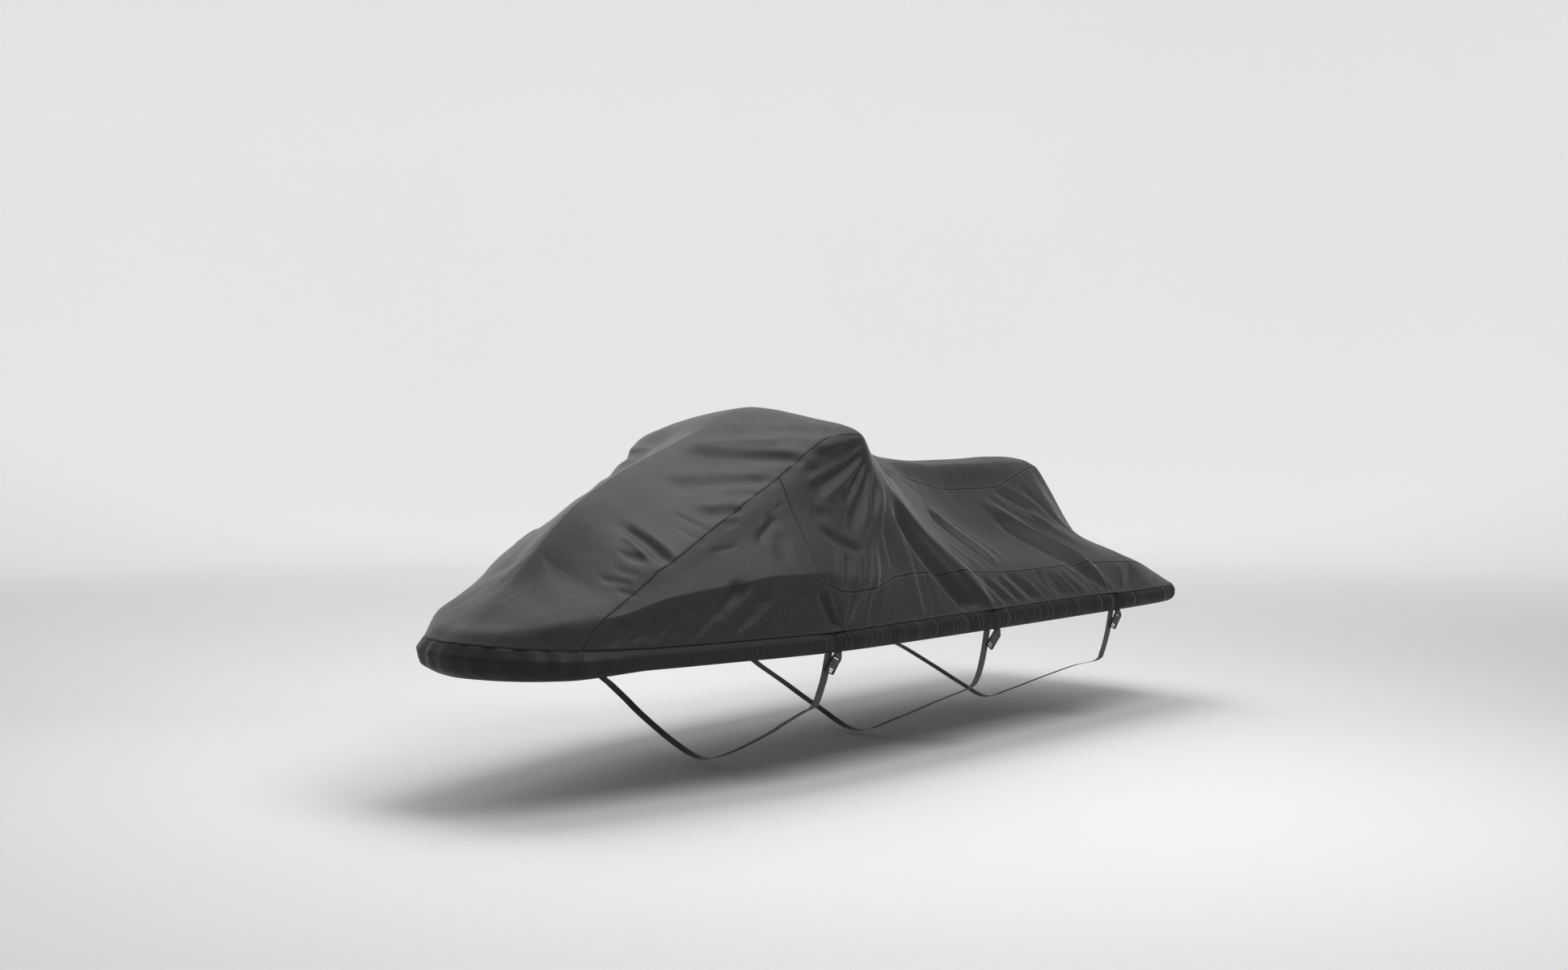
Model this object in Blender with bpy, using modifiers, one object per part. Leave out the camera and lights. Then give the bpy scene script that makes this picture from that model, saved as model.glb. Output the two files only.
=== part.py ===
"""Fitted three-seat watercraft cover in its worn shape, with its three tie-down straps and buckles.

+X runs from the bow to the stern, port is -Y and +Z is up. Heights in the tables are measured up from
the hem line; the whole cover is then lowered, so that the origin is the underside of the cloth at the
crown, where the form that wears the cover holds it up. All sizes are metres.
"""

import math

import bmesh
import bpy
import numpy as np
from mathutils import Matrix, Vector

CLOTH = 0.002              # thickness of a panel with its coating
SEAM_GAP = 0.0004          # between the cut edges of two panels that are sewn together
CROWN_HEIGHT = 0.800       # crown of the bar dome above the hem line
LIFT = CLOTH - CROWN_HEIGHT

# One row for each section, from the bow centre line round the port side to the stern centre line. Each
# section is a spoke that runs from the ridge out to the seam of the hem band (the rail). crown, hood,
# waist and knuckle are points of its curve: how far out along the spoke (0 ridge, 1 rail), and how high.
# steps is the number of columns of faces up to the next row.
SECTION_COLUMNS = ("ridge_x", "ridge_z", "rail_x", "rail_y", "rail_z", "crown_out", "crown_z", "hood_out",
                   "hood_z", "waist_out", "waist_z", "knuckle_out", "knuckle_z", "steps")
SECTIONS = (
    (-0.92, 0.354, -1.260, 0.000, 0.090, 0.30, 0.258, 0.60, 0.188, 0.78, 0.146, 0.91, 0.121, 2),
    (-0.92, 0.354, -1.235, 0.125, 0.088, 0.30, 0.258, 0.60, 0.188, 0.78, 0.149, 0.91, 0.124, 2),
    (-0.92, 0.354, -1.180, 0.235, 0.083, 0.30, 0.264, 0.60, 0.196, 0.80, 0.158, 0.92, 0.130, 2),
    (-0.92, 0.354, -1.080, 0.325, 0.076, 0.30, 0.278, 0.64, 0.212, 0.82, 0.180, 0.94, 0.152, 4),
    (-0.92, 0.354, -0.920, 0.400, 0.070, 0.30, 0.300, 0.70, 0.238, 0.86, 0.206, 0.955, 0.172, 3),
    (-0.76, 0.482, -0.760, 0.447, 0.067, 0.38, 0.400, 0.84, 0.297, 0.90, 0.258, 0.970, 0.216, 4),
    (-0.53, 0.597, -0.530, 0.503, 0.066, 0.38, 0.500, 0.745, 0.402, 0.84, 0.328, 0.965, 0.243, 3),
    (-0.36, 0.657, -0.360, 0.545, 0.066, 0.37, 0.572, 0.685, 0.487, 0.80, 0.388, 0.965, 0.262, 3),
    (-0.19, 0.720, -0.190, 0.578, 0.066, 0.35, 0.645, 0.640, 0.566, 0.77, 0.434, 0.960, 0.262, 3),
    (-0.06, 0.775, -0.060, 0.592, 0.067, 0.34, 0.718, 0.640, 0.645, 0.765, 0.456, 0.950, 0.240, 3),
    (0.08, 0.800, 0.080, 0.600, 0.069, 0.35, 0.765, 0.658, 0.705, 0.755, 0.480, 0.935, 0.228, 3),
    (0.19, 0.788, 0.190, 0.604, 0.070, 0.35, 0.758, 0.672, 0.705, 0.752, 0.500, 0.915, 0.228, 3),
    (0.30, 0.760, 0.300, 0.606, 0.071, 0.33, 0.732, 0.595, 0.645, 0.765, 0.450, 0.905, 0.225, 3),
    (0.45, 0.700, 0.450, 0.608, 0.072, 0.25, 0.675, 0.420, 0.612, 0.69, 0.430, 0.90, 0.220, 3),
    (0.60, 0.648, 0.600, 0.610, 0.072, 0.20, 0.628, 0.320, 0.575, 0.60, 0.395, 0.89, 0.210, 4),
    (0.80, 0.606, 0.800, 0.611, 0.072, 0.17, 0.592, 0.285, 0.520, 0.53, 0.360, 0.88, 0.197, 5),
    (1.05, 0.588, 1.050, 0.611, 0.073, 0.17, 0.576, 0.282, 0.478, 0.52, 0.330, 0.88, 0.188, 5),
    (1.30, 0.588, 1.300, 0.610, 0.073, 0.17, 0.576, 0.282, 0.478, 0.52, 0.325, 0.87, 0.188, 4),
    (1.50, 0.594, 1.500, 0.609, 0.070, 0.15, 0.578, 0.245, 0.517, 0.50, 0.335, 0.86, 0.185, 2),
    (1.62, 0.592, 1.620, 0.607, 0.066, 0.13, 0.578, 0.210, 0.543, 0.48, 0.340, 0.86, 0.180, 2),
    (1.62, 0.592, 1.865, 0.598, 0.064, 0.12, 0.579, 0.200, 0.550, 0.46, 0.290, 0.86, 0.168, 2),
    (1.62, 0.592, 2.040, 0.570, 0.063, 0.12, 0.580, 0.200, 0.552, 0.48, 0.240, 0.86, 0.132, 2),
    (1.62, 0.592, 2.117, 0.485, 0.064, 0.12, 0.581, 0.200, 0.554, 0.51, 0.230, 0.86, 0.112, 2),
    (1.62, 0.592, 2.146, 0.300, 0.067, 0.13, 0.581, 0.220, 0.555, 0.55, 0.270, 0.84, 0.130, 2),
    (1.62, 0.592, 2.154, 0.120, 0.070, 0.15, 0.579, 0.240, 0.553, 0.56, 0.330, 0.82, 0.155, 2),
    (1.62, 0.592, 2.156, 0.000, 0.070, 0.15, 0.578, 0.250, 0.552, 0.56, 0.340, 0.82, 0.158, 1),
)
STRAIGHT_ROWS = (4, 19)    # between these rows the sections stand square to the ridge
FAN_MIDDLE = 10.0          # rows before this one fan out at the bow, later ones at the stern
BOW_RIDGE_SLOPE = 0.77     # of the ridge where the bow sections fan out
STERN_RIDGE_SLOPE = -0.06  # of the ridge where the stern sections fan out
# Place along the rows, and the share of the first chord's fall at which a section leaves the ridge: above 0
# the ridge is a crest, at 0 it is round.
CREST = ((0.0, 0.0), (3.0, 0.2), (5.0, 0.45), (8.0, 0.45), (11.0, 0.1), (13.0, 0.0), (25.0, 0.0))
# Place along the rows, and how sharply the cloth turns at the knuckle: 0 round, 1 a fold between two flats.
KNUCKLE_EDGE = ((0.0, 0.0), (2.5, 0.2), (4.0, 0.9), (8.0, 0.9), (10.0, 0.5), (12.0, 0.2), (20.0, 0.2), (21.0, 0.0))
KNUCKLE = 4                # number of the knuckle among the points of the curve
CURVE_POINTS = 6           # ridge, crown, hood, waist, knuckle and rail
HOOD_FOLLOWS = 0.6         # share of the ridge's fall that the starboard hood follows

# The seams that part the panels: place along the table's rows, and place down the section's curve
# (0 ridge, 1 crown, 2 hood, 3 waist, 4 knuckle, 5 rail).
HOOD_SEAM = ((0.0, 5.0), (3.25, 5.0), (3.5, 4.36), (4.0, 3.48), (4.5, 2.83), (5.0, 2.06), (6.0, 2.0), (25.0, 2.0))
SIDE_SEAM = ((0.0, 4.0), (7.67, 4.0), (8.0, 4.16), (8.67, 4.28), (9.0, 4.28), (10.0, 4.2), (11.0, 4.04),
             (12.0, 4.0), (25.0, 4.0))
GUSSET_START = 8.0         # row of the table where the upper side panel starts
BAND_JOIN = 3.25           # row of the table where the bow band is joined to the elastic band
HOOD_ROWS = 6              # faces down the middle panel, from the ridge to its seam
UPPER_ROWS = 6             # faces down the upper side panel
LOWER_ROWS = 4             # faces down the lower side panel
CURVE_SAMPLES = 24         # points between two named points, to measure along a section
RAIL_SAMPLES = 400         # places along the rail, to find where it reaches an x
PLACE_SLACK = 0.01         # rows of the table that a place may be off

# The bars under the dome are turned, so the starboard side's bulge lies further forward.
BAR_TURN = 0.17
BAR_TURN_CENTRE = 0.06
BAR_TURN_REACH = 0.90

# The hem band below the rail: share of its depth, and how far it stands out from the rail.
ELASTIC_BAND = ((0.30, 0.010), (0.68, 0.009), (1.00, -0.008))
BOW_BAND = ((0.35, 0.023), (0.75, 0.016), (1.00, -0.022))
BOW_HEM_DROP = 0.018       # the bow hem hangs this far below the hem line
BOW_BAND_ENDS = (3.0, 4.6)  # rows of the table between which the bow's form fades into the elastic's
RUFFLE = 0.0035            # uneven gathers of the elastic band, in and out
GATHER_SWING = 0.4         # share of a gather's depth that comes and goes
GATHER_BEAT = 1.7          # how fast it does so from one column to the next
CENTRE_CALM = 9.0          # gathers die out within a metre over this of the centre line
STRAP_CALM = 1.6           # and where a strap pulls, by this much
PINCH = 0.009              # the cloth is drawn in where a strap pulls
PINCH_REACH = 0.05

WEBBING = 0.0016
WEBBING_WIDTH = 0.038
TOUCH = 0.0004             # clearance between pieces that touch


def column(name):
    """One named column of the sections table."""
    return np.array([row[SECTION_COLUMNS.index(name)] for row in SECTIONS])


def tangents(values, start=0.0, end=0.0):
    """Slopes at knots one apart that never overshoot: the harmonic mean of the two neighbours'."""
    steps = np.diff(values, axis=-1)
    before, after = steps[..., :-1], steps[..., 1:]
    same_way = before * after > 0
    total = np.where(same_way, before + after, 1.0)
    inner = np.where(same_way, 2.0 * before * after / total, 0.0)
    ends = [np.broadcast_to(np.asarray(e)[..., None], values[..., :1].shape) for e in (start, end)]
    return np.concatenate([ends[0], inner, ends[1]], axis=-1)


def cubic(values, slopes, place, arriving=None):
    """The curve through the knots on the last axis, read at places counted in knots.

    Where it turns sharply at a knot, it arrives there with a slope of its own.
    """
    values, slopes, place = np.atleast_2d(values), np.atleast_2d(slopes), np.atleast_2d(place)
    arriving = slopes if arriving is None else arriving
    knot = np.clip(np.floor(place).astype(int), 0, values.shape[-1] - 2)
    t = place - knot
    low, high, low_slope, high_slope = (np.take_along_axis(a, knot + k, axis=-1)
                                        for a, k in ((values, 0), (values, 1), (slopes, 0), (arriving, 1)))
    cube, square = t ** 3, t ** 2
    return ((2 * cube - 3 * square + 1) * low + (cube - 2 * square + t) * low_slope
            + (3 * square - 2 * cube) * high + (cube - square) * high_slope)


def read_column(name, place):
    """A column of the table at places between its rows; the rail leaves the centre line squarely."""
    values = column(name)
    first = values[1] - values[0] if name == "rail_y" else 0.0
    last = values[-1] - values[-2] if name == "rail_y" else 0.0
    return cubic(values, tangents(values, first, last), place)[0]


def folded(values, slopes, sharp):
    """Slopes that leave the knots and slopes that arrive there, with a fold at the knuckle."""
    steps = np.diff(values, axis=-1)
    leaving, arriving = slopes.copy(), slopes.copy()
    leaving[:, KNUCKLE] += sharp * (steps[:, KNUCKLE] - slopes[:, KNUCKLE])
    arriving[:, KNUCKLE] += sharp * (steps[:, KNUCKLE - 1] - slopes[:, KNUCKLE])
    return leaving, arriving


def column_places():
    """Places along the table's rows of all columns of faces."""
    counts = [row[-1] for row in SECTIONS[:-1]]
    parts = [row + np.arange(count) / count for row, count in enumerate(counts)]
    return np.concatenate(parts + [[len(SECTIONS) - 1.0]])


def turned(place):
    """Places to read the starboard side's upper points at, with the bulge moved forward."""
    x = read_column("rail_x", place)
    away = np.clip(np.abs(x - BAR_TURN_CENTRE) / BAR_TURN_REACH, 0.0, 1.0)
    moved = x + BAR_TURN * (1.0 - away ** 2) ** 2
    dense = np.linspace(*STRAIGHT_ROWS, RAIL_SAMPLES)
    found = np.interp(moved, read_column("rail_x", dense), dense)
    return np.where((place > STRAIGHT_ROWS[0]) & (place <= STRAIGHT_ROWS[1]), found, place)


def sections(place, side):
    """Points down every section from the ridge to the rail, as an array (column, row, xyz)."""
    upper = turned(place) if side > 0 else place
    ridge_x, ridge_z = read_column("ridge_x", place), read_column("ridge_z", place)
    rail = np.stack([read_column(name, place) for name in ("rail_x", "rail_y", "rail_z")], axis=-1)
    out = np.stack([np.zeros_like(place), read_column("crown_out", upper), read_column("hood_out", upper),
                    read_column("waist_out", upper), read_column("knuckle_out", place),
                    np.ones_like(place)], axis=-1)
    lower = ridge_z - read_column("ridge_z", upper)
    high = np.stack([ridge_z, read_column("crown_z", upper) + lower,
                     read_column("hood_z", upper) + HOOD_FOLLOWS * lower, read_column("waist_z", upper),
                     read_column("knuckle_z", place), rail[:, 2]], axis=-1)
    run = (rail[:, 0] - ridge_x) * out[:, 1]
    ridge_slope = np.where(place < FAN_MIDDLE, BOW_RIDGE_SLOPE, STERN_RIDGE_SLOPE)
    crest = np.interp(place, *zip(*CREST)) * (high[:, 1] - high[:, 0])
    sharp = np.interp(place, *zip(*KNUCKLE_EDGE))
    out_leaving, out_arriving = folded(out, tangents(out, out[:, 1], out[:, -1] - out[:, -2]), sharp)
    high_leaving, high_arriving = folded(
        high, tangents(high, run * ridge_slope + crest, high[:, -1] - high[:, -2]), sharp)

    def point(down):
        share = cubic(out, out_leaving, down, out_arriving)
        height = cubic(high, high_leaving, down, high_arriving)
        x = ridge_x[:, None] + share * (rail[:, 0] - ridge_x)[:, None]
        return np.stack([x, side * share * rail[:, 1][:, None], height], axis=-1)

    last = CURVE_POINTS - 1.0
    fine = np.tile(np.linspace(0.0, last, int(last) * CURVE_SAMPLES + 1), (len(place), 1))
    lengths = np.linalg.norm(np.diff(point(fine), axis=1), axis=-1)
    measured = np.concatenate([np.zeros((len(place), 1)), np.cumsum(lengths, axis=1)], axis=1)
    hood = np.interp(place, *zip(*HOOD_SEAM))
    seam = np.maximum(np.interp(place, *zip(*SIDE_SEAM)), hood)
    rows = []
    for index in range(len(place)):
        marks = np.interp([0.0, hood[index], seam[index], last], fine[index], measured[index])
        spread = [np.linspace(marks[k], marks[k + 1], count + 1)[1:]
                  for k, count in enumerate((HOOD_ROWS, UPPER_ROWS, LOWER_ROWS))]
        rows.append(np.interp(np.concatenate([[0.0]] + spread), measured[index], fine[index]))
    return point(np.array(rows))


def band(rail, place, side):
    """Points of the hem band below the rail, as an array (column, row, xyz)."""
    tangent = np.gradient(rail, axis=0)
    outward = np.stack([tangent[:, 1], -tangent[:, 0], np.zeros(len(rail))], axis=-1)
    outward[rail[:, 1] == 0.0, 1] = 0.0
    outward *= -side / np.linalg.norm(outward, axis=-1, keepdims=True)
    bow = 1.0 - np.clip((place - BOW_BAND_ENDS[0]) / (BOW_BAND_ENDS[1] - BOW_BAND_ENDS[0]), 0.0, 1.0)
    bow = bow * bow * (3.0 - 2.0 * bow)
    depth = rail[:, 2] + BOW_HEM_DROP * bow
    count = np.arange(len(place))
    swing = 1.0 - GATHER_SWING + GATHER_SWING * np.sin(GATHER_BEAT * count + side)
    gather = np.where(count % 2 == 0, 1.0, -1.0) * swing
    near_strap = sum(np.exp(-((rail[:, 0] - x) / PINCH_REACH) ** 2) for x in STRAP_PLACES)
    calm = (1.0 - bow) * (1.0 - np.clip(near_strap * STRAP_CALM, 0.0, 1.0))
    calm = calm * np.clip(np.abs(rail[:, 1]) * CENTRE_CALM, 0.0, 1.0)
    rows = []
    for (drop, stand), (bow_drop, bow_stand) in zip(ELASTIC_BAND, BOW_BAND):
        share = drop + (bow_drop - drop) * bow
        offset = stand + (bow_stand - stand) * bow + RUFFLE * gather * calm * share
        offset = offset - PINCH * near_strap * (1.0 - share)
        point = rail + outward * offset[:, None]
        point[:, 2] = rail[:, 2] - depth * share
        rows.append(point)
    return np.stack(rows, axis=1)


# Tie-down straps: name, x of the strap, x of the buckle's top and of its foot, and the strap's route, which
# is read on the port side from the buckle's foot to the keel line as (out from the centre, height).
PULL_BEHIND = 0.02         # a strap and its buckle pull the cloth in this far behind the strap
STRAPS = (
    ("front", -0.170, -0.134, -0.158, ((0.556, -0.070), (0.541, -0.115), (0.512, -0.178), (0.466, -0.204),
                                       (0.386, -0.249), (0.296, -0.302), (0.130, -0.382), (0.0, -0.418))),
    ("middle", 0.675, 0.730, 0.696, ((0.588, -0.080), (0.570, -0.150), (0.546, -0.199), (0.505, -0.226),
                                     (0.375, -0.282), (0.200, -0.360), (0.0, -0.430))),
    ("rear", 1.515, 1.558, 1.535, ((0.586, -0.080), (0.563, -0.160), (0.537, -0.200), (0.431, -0.232),
                                   (0.262, -0.300), (0.120, -0.360), (0.0, -0.400))),
)
STRAP_PLACES = tuple(row[1] + PULL_BEHIND for row in STRAPS)
STRAP_STEPS = 3            # faces between two points of a strap's route

# Folds of the cloth, as seen from the side: the side, from and to (x, height above the hem line), how far
# the fold bends off the straight line, how high it stands (below 0 a trough), and its half width at both ends.
PORT, STARBOARD = -1, 1
FOLDS = (
    (PORT, 0.300, 0.550, 0.740, 0.030, 0.028, 0.013, 0.035, 0.045),
    (PORT, 0.300, 0.500, 0.660, 0.030, -0.035, -0.015, 0.040, 0.065),
    (PORT, 0.290, 0.560, 0.020, 0.120, 0.000, 0.011, 0.035, 0.035),
    (PORT, 0.160, 0.580, 0.020, 0.350, 0.000, -0.010, 0.035, 0.045),
    (PORT, 0.290, 0.400, 0.280, 0.060, 0.010, 0.006, 0.030, 0.040),
    (PORT, 0.225, 0.390, 0.210, 0.230, 0.000, -0.007, 0.030, 0.030),
    (PORT, -0.070, 0.535, 0.210, 0.655, 0.000, -0.008, 0.030, 0.030),
    (PORT, -0.120, 0.405, 0.080, 0.310, -0.010, -0.008, 0.030, 0.030),
    (PORT, -0.200, 0.210, -0.130, 0.050, 0.000, -0.009, 0.035, 0.030),
    (PORT, 0.740, 0.440, 0.880, 0.200, 0.030, 0.009, 0.040, 0.050),
    (PORT, 1.160, 0.450, 1.550, 0.050, 0.030, 0.012, 0.040, 0.035),
    (PORT, 1.150, 0.390, 1.450, 0.090, 0.005, -0.012, 0.050, 0.045),
    (PORT, 1.240, 0.450, 1.590, 0.230, 0.030, 0.008, 0.035, 0.045),
    (PORT, 1.300, 0.465, 1.460, 0.365, 0.000, -0.007, 0.030, 0.035),
    (PORT, 0.860, 0.200, 1.010, 0.070, 0.000, -0.005, 0.030, 0.035),
    (PORT, 1.050, 0.185, 1.180, 0.070, 0.000, -0.006, 0.030, 0.035),
    (PORT, 1.230, 0.180, 1.350, 0.070, 0.000, 0.005, 0.030, 0.035),
    (PORT, 1.570, 0.050, 1.800, 0.150, 0.000, -0.006, 0.030, 0.040),
    (PORT, -0.965, 0.060, -0.905, 0.160, 0.000, -0.006, 0.030, 0.030),
    (PORT, -0.855, 0.080, -0.735, 0.185, 0.000, -0.009, 0.030, 0.035),
    (PORT, -0.735, 0.070, -0.455, 0.255, 0.010, -0.010, 0.035, 0.040),
    (PORT, -0.555, 0.090, -0.400, 0.220, 0.000, -0.008, 0.030, 0.040),
    (PORT, -0.385, 0.360, -0.250, 0.450, 0.000, -0.004, 0.030, 0.035),
    (PORT, -0.710, 0.450, -0.725, 0.300, 0.010, -0.006, 0.030, 0.035),
    (PORT, -0.500, 0.532, -0.190, 0.562, 0.000, -0.005, 0.035, 0.030),
    (PORT, -0.340, 0.658, -0.050, 0.630, -0.010, -0.006, 0.040, 0.030),
    (STARBOARD, 0.100, 0.590, 0.680, 0.040, 0.010, 0.012, 0.035, 0.045),
    (STARBOARD, 0.070, 0.530, 0.540, 0.050, -0.030, -0.013, 0.040, 0.060),
    (STARBOARD, -0.020, 0.600, -0.150, 0.090, 0.015, 0.010, 0.035, 0.035),
    (STARBOARD, -0.110, 0.550, -0.230, 0.310, 0.000, -0.009, 0.035, 0.045),
    (STARBOARD, 0.220, 0.420, 0.250, 0.090, 0.000, 0.005, 0.030, 0.040),
    (STARBOARD, 1.090, 0.460, 1.540, 0.050, 0.020, 0.011, 0.040, 0.035),
    (STARBOARD, 1.020, 0.400, 1.370, 0.080, -0.010, -0.011, 0.050, 0.045),
    (STARBOARD, 1.320, 0.470, 1.680, 0.230, 0.020, 0.008, 0.035, 0.045),
    (STARBOARD, 0.790, 0.195, 0.930, 0.070, 0.000, -0.006, 0.030, 0.035),
    (STARBOARD, 1.130, 0.185, 1.240, 0.070, 0.000, -0.005, 0.030, 0.035),
    (STARBOARD, -0.820, 0.080, -0.600, 0.210, 0.010, -0.009, 0.030, 0.040),
    (STARBOARD, -0.640, 0.080, -0.370, 0.250, 0.000, -0.008, 0.035, 0.040),
    (STARBOARD, -0.420, 0.100, -0.290, 0.220, 0.000, -0.007, 0.030, 0.035),
    (STARBOARD, -0.600, 0.480, -0.660, 0.330, 0.000, -0.006, 0.030, 0.040),
    (STARBOARD, -0.420, 0.600, -0.190, 0.580, 0.000, -0.005, 0.035, 0.030),
)
FOLD_FADE = 0.22           # share of a fold's length in which it rises at each end
FOLD_SAMPLES = 17          # points along a fold's line
RIDGE_CALM = 0.08          # folds die out this close to the centre line
BAND_SHARE = (0.5, 0.25, 0.0)  # share of a fold that is left on the rows of the band

SOCKET_LENGTH = 0.040
BUCKLE_LENGTH = 0.062
BUCKLE_WIDTH = 0.048
BUCKLE_THICKNESS = 0.008
BUCKLE_BAR = 0.005         # width of the bars that webbing passes round
BUCKLE_SLOT = 0.0045
LATCH_WIDTH = 0.008        # of the two sprung arms that show at the buckle's sides
TAB_DROP = 0.0140          # the buckle's top hangs this far below the hem
TAB_SEWN = 0.0035          # length of the tab that is sewn, straight below the hem
TAB_RISE = 0.001           # the tab leaves the buckle this far above its top edge
CHAMFER = 0.003            # at the buckle's corners
CENTRE_BAR = 0.003         # width of the bar between the two slots at the buckle's foot
ACROSS = (1.0, 0.0, 0.0)   # way across the straps' webbing

COLOURS = {"cloth": (0.022, 0.022, 0.024, 1.0), "webbing": (0.012, 0.012, 0.013, 1.0),
           "buckle": (0.018, 0.018, 0.020, 1.0)}
ROUGHNESS = {"cloth": 0.72, "webbing": 0.62, "buckle": 0.38}
WELD = 1e-6
SHARP_ANGLE = math.radians(50)
FAR_OUT = 0.3              # points of one side's hem lie further out than this
TIGHTEST_MITRE = 0.25


def material(name, kind):
    """Material of one node."""
    made = bpy.data.materials.new(name)
    made.use_nodes = True
    shader = made.node_tree.nodes["Principled BSDF"]
    shader.inputs["Base Color"].default_value = COLOURS[kind]
    shader.inputs["Roughness"].default_value = ROUGHNESS[kind]
    shader.inputs["Metallic"].default_value = 0.0
    return made


def add_object(name, mesh, kind, collection):
    """A node with its own material in the cover's collection."""
    mesh.materials.clear()
    mesh.materials.append(material(name, kind))
    made = bpy.data.objects.new(name, mesh)
    collection.objects.link(made)
    return made


def fold_height(points):
    """How far every point of the skin is raised along its normal by the folds."""
    raised = np.zeros(len(points))
    share = np.linspace(0.0, 1.0, FOLD_SAMPLES)[:, None]
    for side, from_x, from_z, to_x, to_z, bend, height, from_width, to_width in FOLDS:
        start, end = np.array([from_x, from_z]), np.array([to_x, to_z])
        chord = end - start
        aside = np.array([-chord[1], chord[0]]) / np.linalg.norm(chord)
        middle = (start + end) / 2 + 2.0 * bend * aside
        line = (1 - share) ** 2 * start + 2 * share * (1 - share) * middle + share ** 2 * end
        seen = points[:, [0, 2]] - np.array([0.0, LIFT])
        first, step = line[:-1], np.diff(line, axis=0)
        gap = seen[:, None, :] - first[None]
        part = np.clip((gap * step).sum(-1) / (step ** 2).sum(-1), 0.0, 1.0)
        distance = np.linalg.norm(gap - part[..., None] * step, axis=-1)
        nearest = distance.argmin(axis=1)
        place = (nearest + np.take_along_axis(part, nearest[:, None], axis=1)[:, 0]) / len(step)
        width = from_width + (to_width - from_width) * place
        off = np.clip(distance.min(axis=1) / width, 0.0, 1.0)
        ends = np.clip(np.minimum(place, 1.0 - place) / FOLD_FADE, 0.0, 1.0)
        shape = (1.0 - off ** 2) ** 2 * ends * ends * (3.0 - 2.0 * ends)
        raised += np.where(points[:, 1] * side > 0.0, height * shape, 0.0)
    return raised * np.clip(np.abs(points[:, 1]) / RIDGE_CALM, 0.0, 1.0)


def vertex_normals(points, faces):
    """Unit normals of the whole skin, shared by all panels."""
    normals = np.zeros_like(points)
    for face in faces:
        corners = points[list(face)]
        normal = sum(np.cross(corners[k] - corners[0], corners[k + 1] - corners[0])
                     for k in range(1, len(face) - 1))
        normals[list(face)] += normal
    return normals / np.linalg.norm(normals, axis=1, keepdims=True)


def panel_name(row, place, side):
    """The panel that a face of the skin belongs to."""
    suffix = "_port" if side < 0 else "_starboard"
    if row < HOOD_ROWS:
        return "centre_panel"
    if row < HOOD_ROWS + UPPER_ROWS:
        return ("upper_side" if place > GUSSET_START - PLACE_SLACK else "lower_side") + suffix
    if row < HOOD_ROWS + UPPER_ROWS + LOWER_ROWS:
        return "lower_side" + suffix
    return "bow_band" if place < BAND_JOIN - PLACE_SLACK else "elastic_band"


def build_skin():
    """The cover's whole outer face: points, faces, their panels and every point's row."""
    place = column_places()
    points, rows, faces, panels, known = [], [], [], [], {}
    for side in (PORT, STARBOARD):
        body = sections(place, side)
        grid = np.concatenate([body, band(body[:, -1], place, side)], axis=1)
        grid[..., 2] += LIFT
        numbers = np.empty(grid.shape[:2], dtype=int)
        for index in np.ndindex(numbers.shape):
            key = tuple(np.round(grid[index] / WELD).astype(int) + 0)
            if key not in known:
                known[key] = len(points)
                points.append(grid[index])
                rows.append(index[1])
            numbers[index] = known[key]
        for i in range(len(place) - 1):
            for j in range(numbers.shape[1] - 1):
                ring = [numbers[i, j], numbers[i + 1, j], numbers[i + 1, j + 1], numbers[i, j + 1]]
                ring = [n for k, n in enumerate(ring) if n != ring[k - 1]]
                if len(set(ring)) < 3:
                    continue
                faces.append(tuple(ring if side > 0 else ring[::-1]))
                panels.append(panel_name(j, place[i], side))
    points, rows = np.array(points), np.array(rows)
    first_band_row = HOOD_ROWS + UPPER_ROWS + LOWER_ROWS
    left = np.interp(rows, first_band_row + np.arange(len(BAND_SHARE) + 1), (1.0,) + BAND_SHARE)
    points = points + vertex_normals(points, faces) * (fold_height(points) * left)[:, None]
    return points, faces, np.array(panels)


def split(points, face):
    """A face as triangles, a four-sided one along its shorter diagonal."""
    if len(face) == 3:
        return [face]
    a, b, c, d = face
    if np.linalg.norm(points[a] - points[c]) <= np.linalg.norm(points[b] - points[d]):
        return [(a, b, c), (a, c, d)]
    return [(a, b, d), (b, c, d)]


def seam_shift(points, triangles, sewn):
    """Shifts that draw a panel's sewn edges back from their seams by half the gap, mitred at corners."""
    edges = {}
    for a, b, c in triangles:
        normal = np.cross(points[b] - points[a], points[c] - points[a])
        for start, end in ((a, b), (b, c), (c, a)):
            edges[start, end] = normal
    inward = {}
    for (start, end), normal in edges.items():
        if (end, start) in edges or (min(start, end), max(start, end)) not in sewn:
            continue
        away = np.cross(normal, points[end] - points[start])
        for vertex in (start, end):
            inward.setdefault(vertex, []).append(away / np.linalg.norm(away))
    shift = {}
    for vertex, found in inward.items():
        if len(found) == 1:
            shift[vertex] = found[0] * SEAM_GAP / 2
        else:
            spread = max(1.0 + float(np.dot(found[0], found[1])), TIGHTEST_MITRE)
            shift[vertex] = (found[0] + found[1]) * SEAM_GAP / 2 / spread
    return shift


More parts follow.
